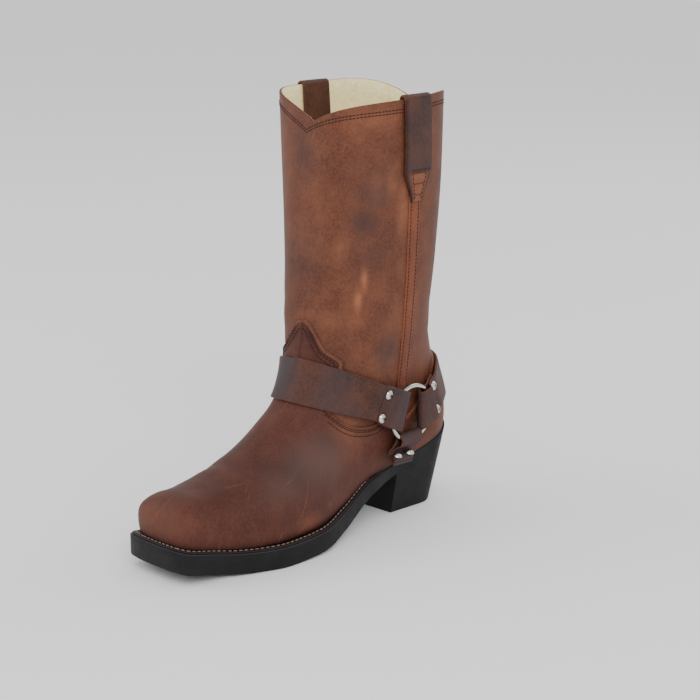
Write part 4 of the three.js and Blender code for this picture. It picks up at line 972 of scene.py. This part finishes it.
def make_pull(node, side):
    """Pull strap over the collar. Returns the paths of the stitches at its sewn end."""
    b, factor = band_section(PULL_WIDTH, 10, 1.0)
    fold_z = float(collar_height(side, np.pi / 2)) - 1.0
    low = SHAFT_HEIGHT - PULL_OUTER
    stations = [(mix(low, fold_z, t), 0.0, t) for t in np.linspace(0, 1, 46)]
    stations += [(fold_z, k / 12 * np.pi, 1.0) for k in range(1, 12)]
    stations += [(mix(fold_z, SHAFT_HEIGHT - PULL_INNER, t), np.pi, 1.0) for t in np.linspace(0, 1, 24)]
    z, turn, t = (np.array(v)[:, None] for v in zip(*stations))
    width = mix(STRIP_WIDTH + 1, PULL_WIDTH, ease(t / 0.32))
    y = PULL_CENTRE_Y + shift_of(side) + width * (b - 0.5)
    wall = side_surface(side, y, z + 0 * y)
    n = unit(outward(wall) * [1, 1, 0])
    outside = (turn == 0) * 1.0
    hug = mix(WALL / 2 + CLEARANCE + PULL_THICKNESS / 2, FOLD, ease(t / 0.5))
    reach = np.where(turn == 0, hug + 1.6 * np.sin(t * np.pi), FOLD)
    grids = []
    for layer in (1, -1):
        half = layer * PULL_THICKNESS / 2 * factor
        across = (reach + half) * np.cos(turn) - WALL / 2
        up = (FOLD + half) * np.sin(turn)
        grids.append(wall + n * across[..., None] + np.array([0, 0, 1]) * up[..., None])
    edge = 1 - factor**2
    sewn = ease((0.30 - t) / 0.03) * ease((b - 0.12) / 0.05) * ease((0.88 - b) / 0.05)
    slit = np.exp(-((t - 0.315) / 0.008) ** 2) * outside * ease((b - 0.14) / 0.05)
    band_mesh(node, *grids, STRAP_LEATHER, "strap_leather", {
        "rub": np.clip(0.95 * sewn * outside + 0.35 * edge, 0, 1),
        # a dark line at the slit, and painted shadow along the strap's left edge
        "oil_and_shade": np.maximum(0.8 * slit, 0.85 * ease((0.05 - b) / 0.03) * outside),
        "stain": 0.3 * (1 - sewn) * outside})
    columns = [int(np.argmin(np.abs(b - share))) for share in (0.2, 0.8)]
    return [grids[0][1:14, j] for j in columns] + [grids[0][row, 6:-6] for row in (3, 8, 13)]


pull_paths = make_pull("pull_strap_left", 1) + make_pull("pull_strap_right", -1)
stitches("pull_stitches", pull_paths, 2.9, 2.2, 0.7, BROWN_THREAD)


# Harness

RING_RADIUS = (RING_DIAMETER - ROD_DIAMETER) / 2
ROD = ROD_DIAMETER / 2
RING_Z = float(seat_line(RING_Y)) + RING_RISE
LEG = ROD + CLEARANCE + STRAP_THICKNESS / 2
LEG_GAP = 0.35
STRAP_SEAT = OVERLAY + STRIP_THICKNESS + 2 * CLEARANCE
RING_STANDOFF = STRAP_SEAT + STRAP_THICKNESS + CLEARANCE + ROD
POCKET = RING_RADIUS + ROD + CLEARANCE
CLOSED, LEG_END = POCKET + 3.5, POCKET + 16
CLOSING = STRAP_THICKNESS + LEG_GAP - LEG
SOLE_STRAP_END = RING_Z - float(seat_line(RING_Y)) - SOLE_STRAP_LIFT + 0.5
SOLE_BEND = 10         # this much of the sole strap's end is turned out over the welt
STRAPS = {  # angle, width, flare, middle, slack and climb of the two edges, pivot, lean, rivets
    "instep": dict(
        angle=156, width=33, flare=0, middle=-0.9, slack=(3, 0.5), pivot=-45, rise=(-0.34, -0.46),
        rivets=(0.13, 0.77)),
    "heel": dict(
        angle=20, width=31, flare=0, middle=-4.2, slack=(1.2, 1.3), pivot=-12, rise=(0.26, 0.48),
        rivets=(0.12, 0.79)),
    "sole": dict(
        angle=-90, width=23.5, flare=1, middle=-1.6, slack=(-2.6, 1.2), pivot=None, lean=0.75,
        rivets=(0.2, 0.8)),
}


def ring_frame(side):
    """Middle and axes of the ring on one side, clear of the upper behind it."""
    at = lambda dy, dz: side_surface(side, np.array(RING_Y + dy), np.array(RING_Z + dz))
    back = at(RING_RADIUS, 0) - at(-RING_RADIUS, 0)
    up = at(0, RING_RADIUS) - at(0, -RING_RADIUS)
    out = unit(np.cross(back, up) * side)
    spread = np.arange(-4, 5) * RING_RADIUS / 3.4
    high = np.max((at(*np.meshgrid(spread, spread)) - at(0, 0)) @ out)
    back_axis = unit(np.array([0, 1, 0]) - out * out[1])
    return dict(
        side=side, middle=at(0, 0) + out * (high + RING_STANDOFF), out=out, back=back_axis,
        up=unit(np.cross(out, back_axis) * side))


def strap_place(frame_, strap, a, b, h):
    a, b, h = np.broadcast_arrays(*(np.asarray(v, float) for v in (a, b, h)))
    lean = strap.get("lean", 0)
    aside = lean * np.maximum(a - RING_RADIUS, 0)
    if lean:
        h = h - 1.5 * ease((a - POCKET) / 8)
        over = np.maximum(a - SOLE_STRAP_END + SOLE_BEND, 0)
        turn, above = 1.25 * ease(over / 5), h - CLOSING
        a = a - over + over * np.cos(turn) - above * np.sin(turn)
        h = CLOSING + over * np.sin(turn) + above * np.cos(turn)
    angle = math.radians(strap["angle"])
    along = frame_["back"] * math.cos(angle) + frame_["up"] * math.sin(angle)
    flip = -1 if math.cos(angle) < -1e-6 else 1
    across = frame_["back"] * (-math.sin(angle) * flip) + frame_["up"] * (math.cos(angle) * flip)
    width = strap["width"] + strap["flare"] * ease((a - POCKET) / 15)
    offset = strap["middle"] + width * (b - 0.5) - aside
    flat = frame_["middle"] + along * a[..., None] + across * offset[..., None]
    plane = flat + frame_["out"] * h[..., None]
    follow = ease((a - POCKET + 1) / 11)[..., None]
    pivot = flat[..., 1] if strap["pivot"] is None else strap["pivot"] + 0 * flat[..., 1]
    ray = unit(np.stack((flat[..., 0], flat[..., 1] - pivot), -1))
    surface = surface_from(0 * a, pivot, ray[..., 0], ray[..., 1], lambda px, py: flat[..., 2])
    n = outward(surface)
    curved = surface + n * (h + RING_STANDOFF)[..., None]
    return plane + (curved - plane) * follow


def fold_line(offset):
    reach = math.sqrt(max(RING_RADIUS**2 - offset**2, (RING_RADIUS / 5) ** 2))
    return reach - ROD * math.hypot(1, offset / reach) + LEG - STRAP_THICKNESS / 2 - CLEARANCE


def strap_end(frame_, strap, leg_end, b, half):
    """Stations from the tip of the inner leg round the rod to the end of the outer leg."""
    folds = [
        fold_line(strap["middle"] + strap["width"] * (s - 0.5)) - strap["slack"][s] for s in (0, 1)
    ]
    fold_at = mix(folds[0], folds[1], b)
    stations = [(a, 0, LEG) for a in np.linspace(leg_end, POCKET, 9)[:-1]]
    stations += [(mix(POCKET, fold_at, s), 0, LEG) for s in np.linspace(0, 0.9, 5)]
    stations += [(fold_at, turn, LEG) for turn in np.linspace(0, np.pi, 11)]
    stations += [(mix(POCKET, fold_at, s), np.pi, LEG) for s in np.linspace(0.9, 0, 5)]
    for a in np.linspace(POCKET, leg_end, 17)[1:]:
        stations.append((a, np.pi, mix(LEG, CLOSING, ease((a - POCKET + 1.5) / (CLOSED + 1.5 - POCKET)))))
    return [
        strap_place(frame_, strap, a - (r + half) * math.sin(turn), b, -(r + half) * math.cos(turn))
        for a, turn, r in stations
    ]


def strap_run(frame_, strap, b, half, steps=44):
    resting = OVERLAY + 2 * CLEARANCE + STRAP_THICKNESS / 2
    raised = RING_STANDOFF - LEG + STRAP_THICKNESS + LEG_GAP
    start = strap_place(frame_, strap, LEG_END, b, 0)
    ahead = -1 if strap["pivot"] < RING_Y else 1
    rise = mix(strap["rise"][0], strap["rise"][1], b)
    full = np.arctan2(np.abs(start[:, 0]), ahead * (start[:, 1] - strap["pivot"]))
    rows = []
    for k in range(1, steps + 1):
        s = k / steps
        angle = full * (1 - s)
        lift = mix(raised, resting, ease(s * 3)) + half
        height_at = lambda px, py: start[:, 2] + rise * (py - start[:, 1])
        p = surface_from(
            0 * b, strap["pivot"], frame_["side"] * np.sin(angle), ahead * np.cos(angle), height_at)
        n = outward(p)
        if k == steps:
            n[:, 0] = 0
            n = unit(n)
        rows.append(p + n * np.asarray(lift)[:, None])
    return rows


FRAMES = {"left": ring_frame(1), "right": ring_frame(-1)}


def make_strap(node, strap, seed, rows_of):
    """A harness strap from the rows of points that rows_of gives for each of its faces."""
    b, factor = band_section(strap["width"])
    grids = [np.array(rows_of(strap, b, layer * STRAP_THICKNESS / 2 * factor)) for layer in (1, -1)]
    x, y = grids[0][..., 0], grids[0][..., 1]
    stain = 0.45 + 0.45 * np.sin(x / 9 + seed) * np.cos(y / 13 + 2 * seed)
    shades = {"rub": 0.55 * (1 - factor**2) ** 2, "stain": stain, "oil_and_shade": 0.0}
    band_mesh(node, *grids, STRAP_LEATHER, "strap_leather", shades)


def ring_to_ring(strap, b, half):
    left, right = (
        strap_end(ring, strap, LEG_END, b, half) + strap_run(ring, strap, b, half)
        for ring in FRAMES.values()
    )
    return left + right[:-1][::-1]


def make_ring(node, ring):
    around, about = 96, 20
    u = np.arange(around) / around * 2 * np.pi
    v = np.arange(about) / about * 2 * np.pi
    radial = ring["back"] * np.cos(u)[:, None] + ring["up"] * np.sin(u)[:, None]
    points = (
        ring["middle"] + radial[:, None] * (RING_RADIUS + ROD * np.cos(v))[None, :, None]
        + ring["out"] * (ROD * np.sin(v))[None, :, None]
    ).reshape(-1, 3)
    faces = grid_faces(around, about, wrap_rows=True, wrap_columns=True)
    dress(node, points, faces, NICKEL, {"shade": 0.75 * np.cos(v) ** 2 + 0 * u[:, None]})


def rivet_seat(frame_, strap, a, b):
    h = CLOSING + STRAP_THICKNESS / 2
    u = strap_place(frame_, strap, a + 4, b, h) - strap_place(frame_, strap, a - 4, b, h)
    v = strap_place(frame_, strap, a, b + 0.15, h) - strap_place(frame_, strap, a, b - 0.15, h)
    axis = unit(np.cross(u, v))
    return strap_place(frame_, strap, a, b, h), axis if np.dot(axis, frame_["out"]) >= 0 else -axis


RIVET_PROFILE = (  # share of the radius, share of the rise, below the dome's top
    (0.16, 0.99), (0.34, 0.93), (0.52, 0.82), (0.68, 0.66), (0.82, 0.45), (0.92, 0.26), (0.98, 0.1),
    (1.0, 0.0), (0.98, -0.1), (0.9, -0.16), (0.5, -0.2),
)


def make_rivet(node, at, axis):
    sides = 28
    side = unit(np.cross(axis, [0, 0, 1.0]))
    turn = np.arange(sides)[:, None] / sides * 2 * np.pi
    out = side * np.cos(turn) + np.cross(axis, side) * np.sin(turn)
    r, rise = np.array(RIVET_PROFILE).T[..., None, None]
    rings = at + out * r * RIVET_DIAMETER / 2 + axis * (0.35 + rise * RIVET_RISE)
    points = np.concatenate(([at + axis * (0.35 + RIVET_RISE)], rings.reshape(-1, 3)))
    dark = 0.85 * ease((0.55 - r) / 0.3) + 0.6 * ease((r - 0.9) / 0.08)
    shade = np.concatenate(([0.85], np.repeat(dark.ravel(), sides)))
    faces = [(0, 1 + k, 1 + (k + 1) % sides) for k in range(sides)]
    faces += grid_faces(len(RIVET_PROFILE), sides, wrap_columns=True, start=1)
    faces.append(tuple(range(len(points) - sides, len(points)))[::-1])
    dress(node, points, faces, NICKEL, {"shade": shade})


make_strap("instep_strap", STRAPS["instep"], 6, ring_to_ring)
make_strap("heel_strap", STRAPS["heel"], 4, ring_to_ring)
for label, ring in FRAMES.items():
    make_strap(f"sole_strap_{label}", STRAPS["sole"], 1.5,
               lambda strap, b, half: strap_end(ring, strap, SOLE_STRAP_END, b, half))
    make_ring(f"ring_{label}", ring)
    for name, strap in STRAPS.items():
        end, margin = (SOLE_STRAP_END, 0.7) if name == "sole" else (LEG_END, 2.2)
        for k, b in enumerate(strap["rivets"]):
            inward = 4 if name == "heel" and k == 0 else 0
            at, axis = rivet_seat(ring, strap, end - RIVET_DIAMETER / 2 - margin - inward, b)
            make_rivet(f"rivet_{name}_{label}_{k + 1}", at, axis)


# Camera, floor and light

AZIMUTH, ELEVATION, DISTANCE = 43.51, 14.81, 1.3919
TARGET = np.array([0.02476, -0.07701, 0.14873])
SENSOR, FOCAL_PIXELS, PHOTO_PIXELS = 36, 1744.9, 700
a, e = math.radians(AZIMUTH), math.radians(ELEVATION)
camera_back = np.array([math.sin(a) * math.cos(e), -math.cos(a) * math.cos(e), math.sin(e)])
camera_data = bpy.data.cameras.new("camera")
camera_data.sensor_width = SENSOR
camera_data.lens = SENSOR * FOCAL_PIXELS / PHOTO_PIXELS
camera_data.clip_start, camera_data.clip_end = 0.05, 50
camera = bpy.data.objects.new("camera", camera_data)
camera.location = TARGET + camera_back * DISTANCE
camera.rotation_euler = (math.pi / 2 - e, 0, a)
bpy.context.scene.collection.objects.link(camera)
bpy.context.scene.camera = camera


def area_light(name, location, target, size, power):
    data = bpy.data.lights.new(name, "AREA")
    data.shape = "RECTANGLE"
    data.size, data.size_y = size
    data.energy = power
    obj = bpy.data.objects.new(name, data)
    obj.location = location
    obj.rotation_euler = (Vector(target) - Vector(location)).to_track_quat("-Z", "Y").to_euler()
    bpy.context.scene.collection.objects.link(obj)


area_light("key", (1.6, -1.2, 1.5), (0, -0.08, 0.15), (1.3, 1.3), 21)
area_light("fill", (-1.5, -1.4, 1.1), (0, -0.08, 0.15), (1.4, 1.4), 12)
area_light("back", (0.2, 1.7, 1.7), (0, -0.05, 0.2), (1.2, 1.0), 8)

world = bpy.data.worlds.new("studio")
world.use_nodes = True
world.node_tree.nodes["Background"].inputs[0].default_value = (1, 1, 1, 1)
world.node_tree.nodes["Background"].inputs[1].default_value = 1.0
bpy.context.scene.world = world

FLOOR_HALF, FLOOR_DROP = 6, 0.0002
corners = [(x * FLOOR_HALF, y * FLOOR_HALF, -FLOOR_DROP) for x, y in ((-1, -1), (1, -1), (1, 1), (-1, 1))]
floor_mesh = bpy.data.meshes.new("floor")
floor_mesh.from_pydata(corners, [], [(0, 1, 2, 3)])
floor = bpy.data.objects.new("floor", floor_mesh)
floor_nodes = Nodes("floor_paper")
floor_mesh.materials.append(floor_nodes.finish((0.96, 0.96, 0.96), 0.9, Specular_IOR_Level=0.1))
bpy.context.scene.collection.objects.link(floor)
